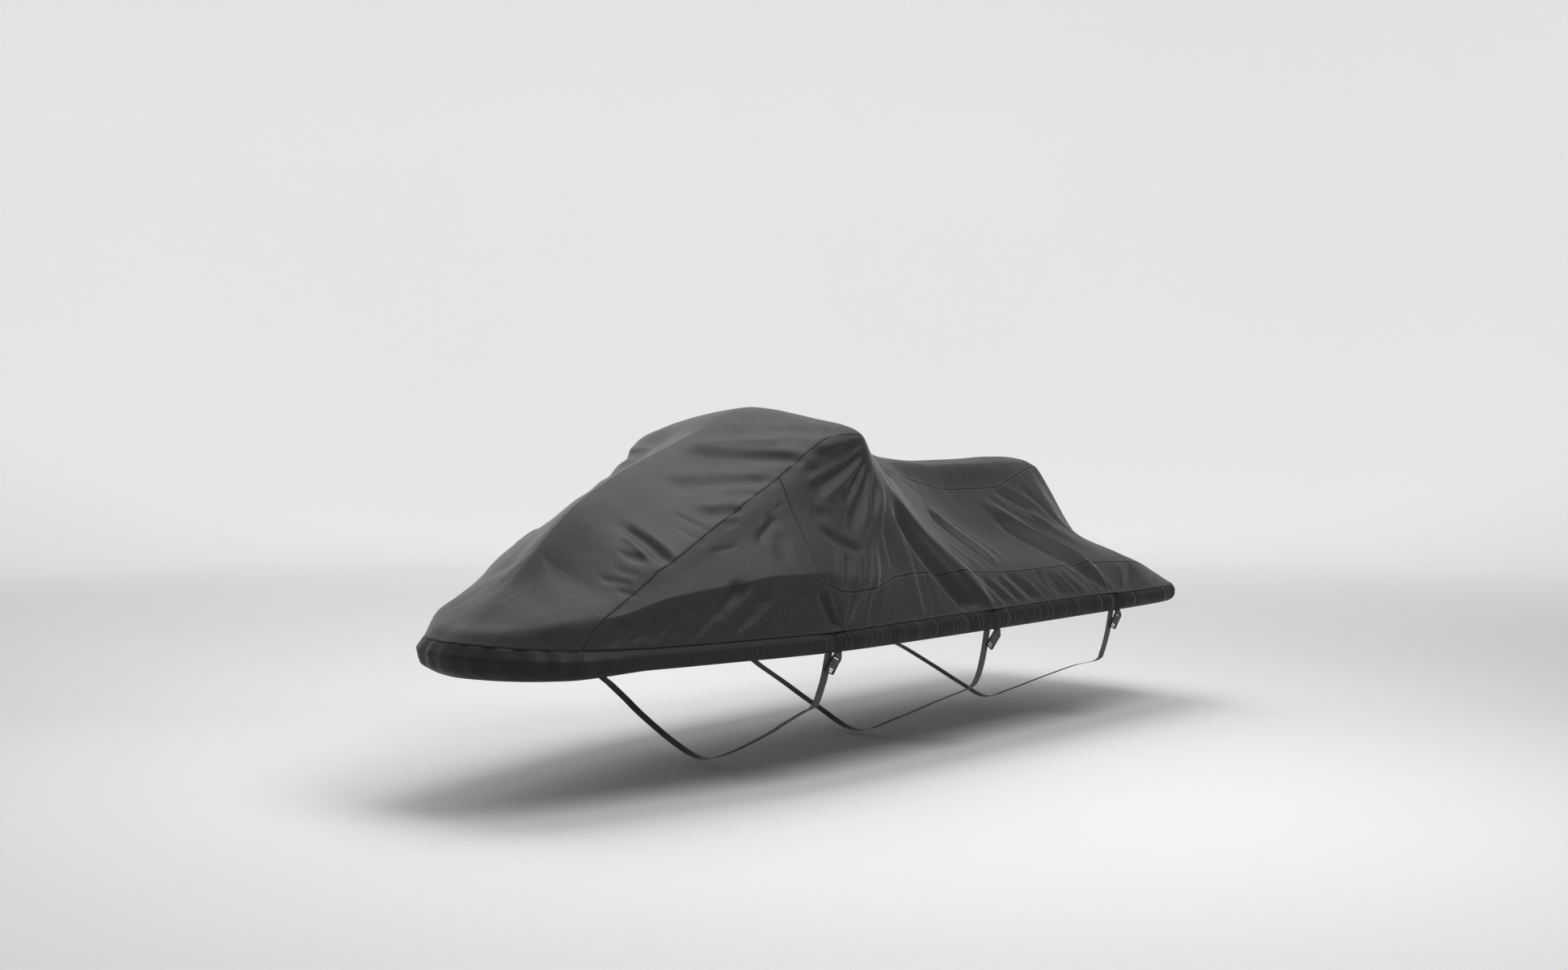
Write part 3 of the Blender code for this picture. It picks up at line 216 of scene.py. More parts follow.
# Smaller creases that only the fine sheets have, in the same columns.
CREASES = {
    PORT: (
        (-500, 545, -195, 566, 3, -11, 17, 10), (-420, 556, -200, 578, 3, 4, 14, 10),
        (-400, 514, -282, 521, 0, -8, 13, 8), (-520, 450, -366, 472, 3, -11, 16, 8),
        (-470, 474, -372, 486, 2, 3.5, 12, 8), (-372, 640, -60, 633, -6, -12.5, 22, 14),
        (-320, 668, 20, 697, 4, 9.5, 20, 14), (-330, 690, -40, 708, 4, -4, 20, 14),
        (-60, 758, 30, 749, 0, -5, 18, 12), (-100, 732, 120, 720, -4, -10.5, 20, 12),
        (-140, 746, 60, 737, 0, 4, 18, 12), (-300, 610, -110, 604, 0, 3.5, 20, 14),
        (-480, 420, -400, 436, 0, -4, 13, 8), (-60, 630, 208, 686, -10, -15, 26, 9),
        (-20, 662, 206, 699, -6, 7, 16, 8), (-90, 604, 200, 677, -8, 6, 16, 8),
        (-135, 578, 200, 670, -10, -11, 24, 9), (-110, 546, 203, 662, -10, 6.5, 18, 8),
        (-115, 512, 210, 652, -12, -14, 26, 9), (-60, 486, 212, 645, -14, 6.5, 20, 8),
        (20, 468, 212, 640, -14, -12, 24, 10), (45, 440, 215, 630, -14, 6, 18, 8),
        (55, 385, 218, 618, -14, -9, 22, 10), (105, 380, 226, 604, -12, 6, 18, 10),
        (115, 250, 236, 580, -10, -6, 20, 12), (-5, 85, 300, 560, 26, 3.5, 11, 9),
        (-45, 85, 215, 470, 18, 4, 12, 10), (45, 85, 265, 480, 18, -3, 14, 12),
        (-110, 402, 82, 312, -8, -3.5, 9, 8), (-100, 420, 75, 330, -8, 1.5, 13, 10),
        (78, 312, 170, 390, -10, -3, 8, 8), (-120, 452, -45, 436, 0, -4, 18, 14),
        (-95, 474, -10, 464, 0, 3.5, 16, 12), (-78, 352, -20, 330, 4, -5, 10, 8),
        (-53, 331, -132, 200, 0, 6.5, 13, 14), (-20, 318, -85, 200, 0, -6.5, 14, 15),
        (22, 308, -36, 196, 0, 6.5, 13, 14), (55, 300, 10, 196, 0, -4.5, 14, 14),
        (-205, 214, -125, 60, 0, -8, 12, 10), (-172, 210, -120, 70, 0, 6, 13, 9),
        (-143, 202, -113, 80, 0, -5.5, 12, 9), (-108, 196, -112, 75, 0, 5, 12, 9),
        (-73, 192, -114, 72, 0, 5, 13, 9), (-30, 194, -104, 68, 0, -5, 13, 10),
        (28, 191, -96, 67, 0, 4.5, 14, 10), (75, 202, 12, 70, 0, -4.5, 14, 12),
        (323, 330, 281, 62, 6, 2.5, 12, 11), (279, 360, 240, 62, 10, 2.5, 12, 11),
        (355, 300, 345, 62, 4, 2, 12, 11), (385, 250, 420, 62, 0, 2, 12, 11),
        (309, 523, 758, 5, 8, 11, 16, 13), (310, 480, 645, 30, -28, -19, 30, 30),
        (350, 520, 610, 310, 6, 1.8, 14, 13), (442, 470, 590, 330, 4, 2.2, 13, 12),
        (500, 330, 690, 130, 4, 3.5, 13, 12), (720, 440, 875, 200, 20, 6.5, 13, 13),
        (700, 420, 850, 205, 18, -6.5, 16, 16), (640, 330, 760, 200, 8, 4, 12, 12),
        (820, 430, 960, 210, 14, 4, 14, 13), (1140, 452, 1475, 175, 8, 8.5, 14, 13),
        (1190, 372, 1345, 205, 4, -6, 26, 22), (1285, 465, 1530, 300, 6, 7.5, 13, 13),
        (1300, 440, 1470, 345, 4, -5, 18, 20), (1350, 500, 1580, 360, 6, 4.5, 14, 14),
        (1480, 500, 1640, 260, 6, -4.5, 18, 18), (1620, 430, 1830, 160, 10, 4, 16, 16),
        (670, 198, 774, 75, 0, 4.5, 13, 10), (705, 192, 818, 75, 0, -6, 15, 12),
        (747, 186, 862, 75, 0, 4.5, 13, 10), (800, 186, 900, 75, 0, -5.5, 15, 12),
        (843, 184, 932, 75, 0, 3.8, 13, 10), (905, 184, 990, 75, 0, -5, 15, 12),
        (959, 178, 1048, 75, 0, 3.5, 13, 10), (1070, 178, 1150, 75, 0, 5, 14, 10),
        (1120, 180, 1205, 75, 0, -4.5, 15, 12), (1190, 178, 1275, 75, 0, 4.5, 13, 10),
        (1330, 180, 1445, 80, 0, 5, 14, 10), (1400, 175, 1500, 75, 0, -4.5, 14, 10),
        (1590, 50, 1690, 175, 0, 6, 10, 14), (1610, 50, 1900, 120, 0, 5.5, 10, 16),
        (1640, 50, 1780, 180, 0, -5.5, 12, 18), (1525, 55, 1500, 170, 0, -6, 11, 14),
        (1500, 60, 1440, 160, 0, 5, 10, 14), (-453, 240, -560, 80, 0, 6.5, 15, 13),
        (-495, 250, -600, 130, 0, -7.5, 22, 18), (-333, 235, -516, 80, 12, 5.5, 15, 13),
        (-270, 230, -400, 90, 10, -5, 24, 20), (-585, 217, -718, 80, 4, 6.5, 16, 13),
        (-660, 200, -780, 85, 0, -5.5, 18, 14), (-736, 194, -850, 80, 0, 5.5, 14, 11),
        (-805, 170, -900, 80, 0, -5, 14, 10), (-375, 366, -259, 441, 4, -6, 9, 10),
        (-350, 400, -240, 470, 4, 3.5, 14, 10), (-310, 430, -200, 490, 4, -4, 10, 8),
        (-275, 400, -318, 290, 0, -4.5, 20, 26), (-560, 340, -440, 360, 0, -3.5, 12, 10),
        (-705, 430, -722, 317, 8, -9.5, 16, 14), (-735, 400, -748, 330, 0, 6, 14, 12),
        (-680, 410, -690, 320, 6, 4.5, 14, 12), (-795, 338, -755, 333, 0, -8, 14, 12),
        (-560, 462, -519, 400, 0, -6, 10, 9), (-600, 420, -560, 360, 0, -4.5, 12, 10),
        (-885, 243, -845, 228, 0, -6.5, 10, 9), (-890, 272, -835, 262, 0, -5.5, 12, 9),
        (-840, 300, -800, 285, 0, -4.5, 12, 9), (480, 610, 800, 480, 14, 4.5, 13, 12),
        (400, 630, 600, 530, 10, -8, 12, 14), (330, 640, 480, 560, 6, 6, 12, 12),
        (330, 600, 460, 520, 6, -6, 14, 14),
    ),
    STARBOARD: (
        (-560, 560, -220, 556, 4, -7, 18, 12), (-460, 500, -310, 510, 3, -6, 15, 9),
        (-420, 640, -120, 650, 4, 5.5, 20, 14), (-240, 600, 22, 672, -10, -14, 25, 9),
        (-260, 570, 25, 662, -8, 6, 18, 8), (-300, 530, 30, 650, -10, -12, 26, 10),
        (-250, 490, 35, 640, -10, 6, 18, 9), (-150, 440, 45, 625, -12, -11, 26, 10),
        (-110, 410, 55, 612, -12, 6, 18, 10), (-100, 340, 60, 590, -12, -8, 24, 12),
        (-150, 85, 120, 555, 20, 6, 12, 10), (-60, 85, 100, 450, 14, -4.5, 15, 12),
        (-180, 385, -20, 320, -8, -6, 10, 9), (-230, 212, -150, 62, 0, -7, 12, 10),
        (-180, 206, -145, 70, 0, 5.5, 13, 9), (-100, 200, -136, 72, 0, 5, 13, 9),
        (-40, 195, -110, 70, 0, -4.5, 14, 10), (130, 340, 140, 66, 6, 4.5, 13, 11),
        (190, 330, 230, 66, 4, 4, 13, 11), (250, 300, 310, 66, 0, -3.5, 15, 13),
        (150, 540, 715, 20, 6, 10.5, 16, 13), (220, 500, 470, 300, 6, 4, 14, 13),
        (300, 440, 560, 220, 6, -4, 16, 15), (680, 440, 850, 200, 16, 6, 13, 13),
        (780, 430, 930, 210, 12, -5, 16, 15), (1100, 445, 1480, 140, 10, 8, 14, 13),
        (1140, 370, 1310, 200, 4, -8, 26, 20), (1280, 470, 1550, 280, 6, 7, 13, 13),
        (1300, 440, 1500, 320, 4, -7, 18, 18), (1580, 430, 1800, 160, 10, 4, 16, 16),
        (610, 190, 720, 75, 0, 6, 13, 10), (700, 190, 800, 75, 0, -5.5, 15, 12),
        (780, 190, 880, 75, 0, 5.5, 13, 10), (900, 186, 990, 75, 0, 5, 13, 10),
        (1020, 182, 1110, 75, 0, -4.5, 15, 12), (1280, 180, 1390, 78, 0, 5, 13, 10),
        (1580, 50, 1820, 130, 0, 6, 11, 16), (1600, 50, 1720, 180, 0, -5.5, 12, 17),
        (1500, 60, 1450, 165, 0, 5, 10, 14), (-480, 245, -590, 80, 0, 6, 15, 13),
        (-320, 235, -490, 80, 10, 5.5, 15, 13), (-540, 240, -650, 100, 0, -6, 20, 16),
        (-780, 200, -880, 80, 0, -5.5, 15, 12), (-640, 430, -660, 330, 6, -8, 16, 14),
        (-690, 400, -700, 330, 4, 5, 14, 12), (-860, 250, -820, 236, 0, -6, 10, 9),
        (-330, 390, -215, 460, 4, -5.5, 9, 10),
    ),
}
FOLD_FADE = 0.22           # share of a fold's length in which it rises at each end
FOLD_SAMPLES = 17          # points along a fold's line
CREASE_SPREAD = 1.8        # a crease is sharp along its line and this much wider than its table says
FINE_CREASE = 0.0125       # a crease that starts narrower than this has a sharp bottom
MILLIMETRE = 0.001
RIDGE_CALM = 0.08          # folds die out this close to the centre line
HEM_CALM = 0.03            # and are pressed down this close to the hem band's seam,
HEM_FOLDS_LEFT = 0.25      # to this share of their height
SWELLS = 8                 # plane waves that make the gentle swells of loose cloth
SWELL_LENGTHS = (0.06, 0.30)
SWELL_SEED = 11

# Tie-down straps, read on the port side from the buckle's foot to the keel line: (out, height).
# Columns: name, strand_x, top_x and foot_x of the buckle, route.
STRAPS = (
    ("front", -0.170, -0.134, -0.158, ((0.556, -0.070), (0.541, -0.115), (0.512, -0.178), (0.466, -0.204),
                                       (0.386, -0.249), (0.296, -0.302), (0.130, -0.382), (0.0, -0.418))),
    ("middle", 0.675, 0.730, 0.696, ((0.588, -0.080), (0.570, -0.150), (0.546, -0.199), (0.505, -0.226),
                                     (0.375, -0.282), (0.200, -0.360), (0.0, -0.430))),
    ("rear", 1.515, 1.558, 1.535, ((0.586, -0.080), (0.563, -0.160), (0.537, -0.200), (0.431, -0.232),
                                   (0.262, -0.300), (0.120, -0.360), (0.0, -0.400))),
)
PULL_BEHIND = 0.02         # a strap and its buckle pull the cloth in this far behind the strap
STRAP_PLACES = tuple(row[1] + PULL_BEHIND for row in STRAPS)
WEBBING_WIDTH = 0.038
TOUCH = 0.0004             # clearance between pieces that touch
SOCKET_LENGTH = 0.040
BUCKLE_LENGTH = 0.062
BUCKLE_WIDTH = 0.048
BUCKLE_THICKNESS = 0.008
BUCKLE_BAR = 0.005         # width of the bars that webbing passes round
BUCKLE_SLOT = 0.0045
LATCH_WIDTH = 0.008        # of the two sprung arms that show at the buckle's sides
TAB_DROP = 0.0140          # the buckle's top hangs this far below the hem
TAB_SEWN = 0.0035          # length of the tab that is sewn, straight below the hem
TAB_TUCK = 0.001           # its webbing turns towards the hem this far above the buckle
ROUTE_STEPS = 10           # points of the fine webbing from one point of a strap's route to the next
WEBBING_STEPS = 9          # points across the flat of the webbing
WEBBING_SHARP = math.radians(55)  # edges that turn more than this stay sharp
PLATE_SHARP = math.radians(40)
PLATE_BEVEL = 0.0007       # of a moulded plate's edges
CORNER = 0.003             # cut off a buckle's outer corners,
SHOULDER_CORNER = 0.002    # off the socket's shoulders
SLOT_CORNER = 0.0015       # and rounded at the slots
SLOT_GAP = 0.003           # width of the bar between the prongs' two slots
# The raised rim round the socket's window: from the neck, top and bottom, width, sunk and raised from the
# face, bevel, and radius of its outer and inner corners.
WINDOW_SIDE, WINDOW_TOP, WINDOW_BOTTOM, RIM_WIDTH = 0.003, 0.0135, 0.0375, 0.0025
RIM_SUNK, RIM_RAISED, RIM_BEVEL, RIM_CORNERS = 0.0004, 0.0007, 0.0003, (0.003, 0.002)

# Rows of the fine sheets: extra ones this far from a sewn edge, then even ones between.
NEAR_SEAM = (0.0, 0.0015, 0.003, 0.0055, 0.009)
NEAR_ROOM = 3.0            # a panel narrower than this many such strips has them squeezed together
BAND_FINENESS = 2.5        # the bands have this many times the panels' columns
HOOD_FACES, UPPER_FACES, LOWER_FACES, BAND_FACES = 32, 44, 26, 14
SEAM_DARK = 0.0042         # the cloth's colour is darkened as painted shade this close to a seam
SEAM_SHADE = 0.12          # and this much of its colour is left in the painted shade
STITCH_LINE = 0.0062       # from a sewn edge to the row of stitches
STITCH_HALF = 0.0007       # half the row's width
STITCH_FURROW = 0.0014     # half the width of the furrow that it lies in
STITCH_SHARE = 0.68        # share of the pitch that a stitch covers
CLOTH_GLOSS = {"Sheen Weight": (0.24, 0.08), "Sheen Roughness": (0.30, 0.30),
               "Specular IOR Level": (0.34, 0.22)}  # of flat cloth and of gathered cloth
CRUMPLE_BUMP = (0.0030, 0.0050)  # also of flat and of gathered cloth
WEAVE_BUMP, STITCH_BUMP = 0.00010, 0.0006
RIB_PITCH, PICK_PITCH = 0.0019, 0.0013  # of the webbing's weave along it and across it
WEBBING_BORDER = 0.0022    # width of its firm woven edges

FLOOR_GAP = 0.012          # between the lowest strap and the floor
STUDIO_RADIUS = 13.0
STUDIO_HEIGHT = 9.0
STUDIO_BEND = 4.0          # radius of the sweep from floor to wall
STUDIO_CENTRE = 0.4        # x of its middle
STUDIO_STEPS = (24, 16, 97)  # points across the floor, up the bend and round the studio
WALL_RISES = (1.5, 3.0, STUDIO_HEIGHT - STUDIO_BEND)  # above the bend
PAPER_TONES = (0.64, 0.68)
WALL_GLOW = (0.40, 0.40, 0.405)
GLOW_SLOPE, GLOW_START = 1.5, 0.12  # how the glow grows from the middle of the studio to the wall
AIR = 0.5                  # strength of the even light from all around
# Lights: name, place, the point that it is aimed at, width, height and power.
LIGHTS = (
    ("overhead_softbox", (0.2, 0.2, 2.6), (0.2, 0.0, -0.4), 2.8, 2.2, 82.0),
    ("port_softbox", (0.1, -2.6, 2.6), (0.2, 0.0, -0.4), 2.4, 1.8, 98.0),
    ("starboard_softbox", (0.3, 3.6, 3.4), (0.3, 0.0, -0.4), 4.0, 2.5, 60.0),
    ("starboard_fill", (0.3, 6.0, 2.4), (0.3, 0.0, -0.4), 4.0, 2.4, 8.0),
    ("bow_fill", (-6.0, 0.0, 0.8), (0.3, 0.0, -0.4), 3.0, 2.0, 6.0),
)

# The camera of the photograph, worked out from the cover's own seams: its place in the frame, its heading
# from the port side towards the stern, its tilt, and its focal length for a picture 1940 pixels wide.
CAMERA_PLACE = (-4.776, -4.460, 0.012)
CAMERA_HEADING = math.radians(48.7)
FOCAL_PIXELS = 2300
CAMERA_TILT = math.atan(100 / FOCAL_PIXELS)  # the horizon is 100 pixels above the picture's middle
PICTURE_WIDTH = 1940
PRINCIPAL_POINT = 980      # pixels from the picture's left edge
SENSOR = 36.0
FAR_CLIP = 60.0            # the camera sees as far as this


# ---------------------------------------------------------------------------------------------- the skin


def column(name):
    """One named column of the sections table."""
    return np.array([row[SECTION_COLUMNS.index(name)] for row in SECTIONS])


def tangents(values, start=0.0, end=0.0):
    """Slopes at knots one apart that never overshoot: the harmonic mean of the two neighbours'."""
    steps = np.diff(values, axis=-1)
    before, after = steps[..., :-1], steps[..., 1:]
    same_way = before * after > 0
    total = np.where(same_way, before + after, 1.0)
    inner = np.where(same_way, 2.0 * before * after / total, 0.0)
    ends = [np.broadcast_to(np.asarray(e)[..., None], values[..., :1].shape) for e in (start, end)]
    return np.concatenate([ends[0], inner, ends[1]], axis=-1)


def cubic(values, slopes, place, arriving=None):
    """The curve through the knots on the last axis, read at places counted in knots.

    Where it turns sharply at a knot, it arrives there with a slope of its own.
    """
    values, slopes, place = np.atleast_2d(values), np.atleast_2d(slopes), np.atleast_2d(place)
    arriving = slopes if arriving is None else arriving
    knot = np.clip(np.floor(place).astype(int), 0, values.shape[-1] - 2)
    t = place - knot
    low, high, low_slope, high_slope = (np.take_along_axis(a, knot + k, axis=-1)
                                        for a, k in ((values, 0), (values, 1), (slopes, 0), (arriving, 1)))
    cube, square = t ** 3, t ** 2
    return ((2 * cube - 3 * square + 1) * low + (cube - 2 * square + t) * low_slope
            + (3 * square - 2 * cube) * high + (cube - square) * high_slope)


def read_column(name, place):
    """A column of the table at places between its rows; the rail leaves the centre line squarely."""
    values = column(name)
    first = values[1] - values[0] if name == "rail_y" else 0.0
    last = values[-1] - values[-2] if name == "rail_y" else 0.0
    return cubic(values, tangents(values, first, last), place)[0]


def turned(place):
    """Places to read the starboard side's upper points at, with the bulge moved forward."""
    x = read_column("rail_x", place)
    away = np.clip(np.abs(x - BAR_TURN_CENTRE) / BAR_TURN_REACH, 0.0, 1.0)
    moved = x + BAR_TURN * (1.0 - away ** 2) ** 2
    dense = np.linspace(*STRAIGHT_ROWS, RAIL_SAMPLES)
    found = np.interp(moved, read_column("rail_x", dense), dense)
    return np.where((place > STRAIGHT_ROWS[0]) & (place <= STRAIGHT_ROWS[1]), found, place)


def folded(values, slopes, sharp):
    """Slopes that leave the knots and slopes that arrive there, with a fold at the knuckle."""
    steps = np.diff(values, axis=-1)
    leaving, arriving = slopes.copy(), slopes.copy()
    leaving[:, KNUCKLE] += sharp * (steps[:, KNUCKLE] - slopes[:, KNUCKLE])
    arriving[:, KNUCKLE] += sharp * (steps[:, KNUCKLE - 1] - slopes[:, KNUCKLE])
    return leaving, arriving


class Side:
    """One side of the skin: the curve of every section, measured, and the places of its seams."""

    def __init__(self, place, side):
        self.place, self.side = place, side
        upper = turned(place) if side > 0 else place
        ridge_x, ridge_z = read_column("ridge_x", place), read_column("ridge_z", place)
        rail = np.stack([read_column(name, place) for name in ("rail_x", "rail_y", "rail_z")], axis=-1)
        lower = ridge_z - read_column("ridge_z", upper)
        out = np.stack([np.zeros_like(place), read_column("crown_out", upper), read_column("hood_out", upper),
                        read_column("waist_out", upper), read_column("knuckle_out", place),
                        np.ones_like(place)], axis=-1)
        high = np.stack([ridge_z, read_column("crown_z", upper) + lower,
                         read_column("hood_z", upper) + HOOD_FOLLOWS * lower, read_column("waist_z", upper),
                         read_column("knuckle_z", place), rail[:, 2]], axis=-1)
        run = (rail[:, 0] - ridge_x) * out[:, 1]
        ridge_slope = np.where(place < FAN_MIDDLE, BOW_RIDGE_SLOPE, STERN_RIDGE_SLOPE)
        crest = np.interp(place, *zip(*CREST)) * (high[:, 1] - high[:, 0])
        self.ridge_x, self.rail = ridge_x, rail
        sharp = np.interp(place, *zip(*KNUCKLE_EDGE))
        self.out, self.high = out, high
        self.out_slopes = folded(out, tangents(out, out[:, 1], out[:, -1] - out[:, -2]), sharp)
        self.high_slopes = folded(
            high, tangents(high, run * ridge_slope + crest, high[:, -1] - high[:, -2]), sharp)
        last = CURVE_POINTS - 1.0
        self.fine = np.tile(np.linspace(0.0, last, int(last) * CURVE_SAMPLES + 1), (len(place), 1))
        lengths = np.linalg.norm(np.diff(self.point(self.fine), axis=1), axis=-1)
        self.measured = np.concatenate([np.zeros((len(place), 1)), np.cumsum(lengths, axis=1)], axis=1)
        hood = np.interp(place, *zip(*HOOD_SEAM))
        seam = np.maximum(np.interp(place, *zip(*SIDE_SEAM)), hood)
        self.marks = np.stack([self.length_at(np.full_like(place, knot) if np.isscalar(knot) else knot)
                               for knot in (0.0, hood, seam, last)], axis=-1)

    def point(self, down):
        """Points at places down the sections' curves: out along the spoke, and up."""
        share = cubic(self.out, self.out_slopes[0], down, self.out_slopes[1])
        height = cubic(self.high, self.high_slopes[0], down, self.high_slopes[1])
        x = self.ridge_x[:, None] + share * (self.rail[:, 0] - self.ridge_x)[:, None]
        return np.stack([x, self.side * share * self.rail[:, 1][:, None], height + LIFT], axis=-1)

    def length_at(self, down):
        """Length of every section from the ridge down to a place on its curve."""
        place = down * CURVE_SAMPLES
        return straight_read(self.measured, place[:, None])[:, 0]

    def at(self, lengths):
        """Points at lengths down the sections, as (column, row, xyz)."""
        return self.point(inverse_read(self.measured, lengths) / CURVE_SAMPLES)


def straight_read(table, place):
    """Every row of a table read at places between its columns, on straight lines."""
    knot = np.clip(np.floor(place).astype(int), 0, table.shape[1] - 2)
    low, high = np.take_along_axis(table, knot, axis=1), np.take_along_axis(table, knot + 1, axis=1)
    return low + (high - low) * (place - knot)


def inverse_read(table, values):
    """Places between the columns of every growing row of a table where it reaches the values."""
    step = table[:, -1:] / (table.shape[1] - 1)
    knot = np.zeros(values.shape, dtype=int)
    for bit in reversed(range(int(math.log2(table.shape[1])) + 1)):
        tried = np.minimum(knot + (1 << bit), table.shape[1] - 2)
        knot = np.where(np.take_along_axis(table, tried, axis=1) <= values, tried, knot)
    low, high = np.take_along_axis(table, knot, axis=1), np.take_along_axis(table, knot + 1, axis=1)
    gap = np.where(high - low > SLACK * step, high - low, 1.0)
    return knot + np.clip((values - low) / gap, 0.0, 1.0)


def rows_between(start, end, faces):
    """Lengths of a panel's rows between two seams: close together near both, even between."""
    width = np.maximum(end - start, DEGENERATE)
    near = np.array(NEAR_SEAM)
    squeeze = np.minimum(1.0, width / (NEAR_ROOM * near[-1]))[:, None]
    first, last = near * squeeze, near[::-1] * squeeze
    inner = np.linspace(0.0, 1.0, faces + 1)[1:-1]
    room = width[:, None] - 2.0 * first[:, -1:]
    return np.concatenate([start[:, None] + first, start[:, None] + first[:, -1:] + room * inner,
                           end[:, None] - last], axis=1)


def column_places(fine):
    """Places along the table's rows of all columns, with extra ones beside the gusset's front seam."""
    counts = [row[-1] * fine for row in SECTIONS[:-1]]
    parts = [row + np.arange(count) / count for row, count in enumerate(counts)]
    row, rail_x = int(GUSSET_START), column("rail_x")
    rows_to_metre = 1.0 / (rail_x[row + 1] - rail_x[row])
    beside = GUSSET_START + np.outer((-1, 1), NEAR_SEAM[1:]).ravel() * rows_to_metre
    places = np.concatenate(parts + [[len(SECTIONS) - 1.0], beside])
    return np.unique(np.round(places, 6))


# ------------------------------------------------------------------------------------ folds of the cloth


def normals_of(grid):
    """Unit normals of a grid, pointing away from the inside of the cover."""
    along, down = np.gradient(grid, axis=0), np.gradient(grid, axis=1)
    normal = np.cross(along, down)
    normal /= np.maximum(np.linalg.norm(normal, axis=-1, keepdims=True), TINY)
    facing = np.sign(((grid - np.array(INSIDE)) * normal).sum(-1).mean())
    return normal * facing


def fold_height(points, side, folds, spread=1.0, sharp=False):
    """Height that a side's folds add at every point, by its distance from each fold's bent line.

    Across a fold the height is (1 - d * d) squared, where d is the distance from the line over the fold's
    half width. A sharp ridge or a fine crease is (1 - d) squared instead.
    """
    raised = np.zeros(points.shape[:-1])
    share = np.linspace(0.0, 1.0, FOLD_SAMPLES)[:, None]
    for row in folds[side]:
        from_x, from_z, to_x, to_z, bend, height, from_width, to_width = (value * MILLIMETRE for value in row)
        start, end = np.array([from_x, from_z + LIFT]), np.array([to_x, to_z + LIFT])
        chord = end - start
        aside = np.array([-chord[1], chord[0]]) / np.linalg.norm(chord)
        middle = (start + end) / 2 + 2.0 * bend * aside
        line = (1 - share) ** 2 * start + 2 * share * (1 - share) * middle + share ** 2 * end
        margin = max(from_width, to_width) * spread
        x, z = points[..., 0], points[..., 2]
        (left, low), (right, high) = line.min(axis=0) - margin, line.max(axis=0) + margin
        near = (points[..., 1] * side > 0.0) & (x > left) & (x < right) & (z > low) & (z < high)
        if not near.any():
            continue
        seen = np.stack([x[near], z[near]], axis=-1)
        first, step = line[:-1], np.diff(line, axis=0)
        gap = seen[:, None, :] - first[None]
        part = np.clip((gap * step).sum(-1) / (step ** 2).sum(-1), 0.0, 1.0)
        distance = np.linalg.norm(gap - part[..., None] * step, axis=-1)
        nearest = distance.argmin(axis=1)
        place = (nearest + np.take_along_axis(part, nearest[:, None], axis=1)[:, 0]) / len(step)
        width = (from_width + (to_width - from_width) * place) * spread
        off = np.clip(distance.min(axis=1) / width, 0.0, 1.0)
        ends = np.clip(np.minimum(place, 1.0 - place) / FOLD_FADE, 0.0, 1.0)
        pointed = sharp and (height > 0.0 or from_width < FINE_CREASE)
        across = (1.0 - off) ** 2 if pointed else (1.0 - off ** 2) ** 2
        raised[near] += height * across * ends * ends * (3.0 - 2.0 * ends)
    return raised * np.clip(np.abs(points[..., 1]) / RIDGE_CALM, 0.0, 1.0)


def shallow_waves(points, depth):
    """Gentle uneven swells: a sum of plane waves of seeded length, direction and phase."""
    rng = np.random.default_rng(SWELL_SEED)
    total = np.zeros(points.shape[:-1])
    for _ in range(SWELLS):
        way = rng.normal(size=3)
        way /= np.linalg.norm(way)
        length, phase = rng.uniform(*SWELL_LENGTHS), rng.uniform(0.0, TURN)
        total += length / SWELL_LENGTHS[1] * np.sin(TURN * (points @ way) / length + phase)
    return depth * total / 2.0 * np.clip(np.abs(points[..., 1]) / RIDGE_CALM, 0.0, 1.0)


def gathers(run, side):
    """Uneven gathers along a run: rounded lobes and sharp troughs, 0 to 1, and how strong each is."""
    phase = run / GATHER_PITCH
    for share, waves, shift in GATHER_WANDER:
        phase = phase + share * np.sin(run * waves + shift * side)
    beat = [np.sin(run * waves + shift * side) for waves, shift in GATHER_BEAT]
    strength = 1.0 - GATHER_UNEVEN + GATHER_UNEVEN * beat[0] * beat[1]
    return np.abs(np.sin(math.pi * phase)) ** GATHER_ROUNDNESS, strength


def run_along(rail):
    """Length along the rail from the bow."""
    steps = np.linalg.norm(np.diff(rail, axis=0), axis=-1)
    return np.concatenate([[0.0], np.cumsum(steps)])


def strap_pull(x):
    """How near a place is to a strap, 1 at the strap itself."""
    return sum(np.exp(-((x - place) / PINCH_REACH) ** 2) for place in STRAP_PLACES)


def bow_share(place):
    """1 where the hem band has the bow's form, 0 where it has the elastic's."""
    share = 1.0 - np.clip((place - BOW_BAND_ENDS[0]) / (BOW_BAND_ENDS[1] - BOW_BAND_ENDS[0]), 0.0, 1.0)
    return share * share * (3.0 - 2.0 * share)


def seam_relief(distance):
    """A felled seam: a groove at the sewn edge, and the folded allowance beside it."""
    depth, reach = SEAM_GROOVE
    height, middle, half = SEAM_ALLOWANCE
    groove = -depth * np.clip(1.0 - distance / reach, 0.0, 1.0)
    return groove + height * np.clip(1.0 - np.abs(distance - middle) / half, 0.0, 1.0)


def centre_calm(side):
    """0 at the centre line, growing to 1 beside it, so that both sides meet there."""
    return np.clip(np.abs(side.rail[:, 1]) * CENTRE_CALM, 0.0, 1.0)[:, None]


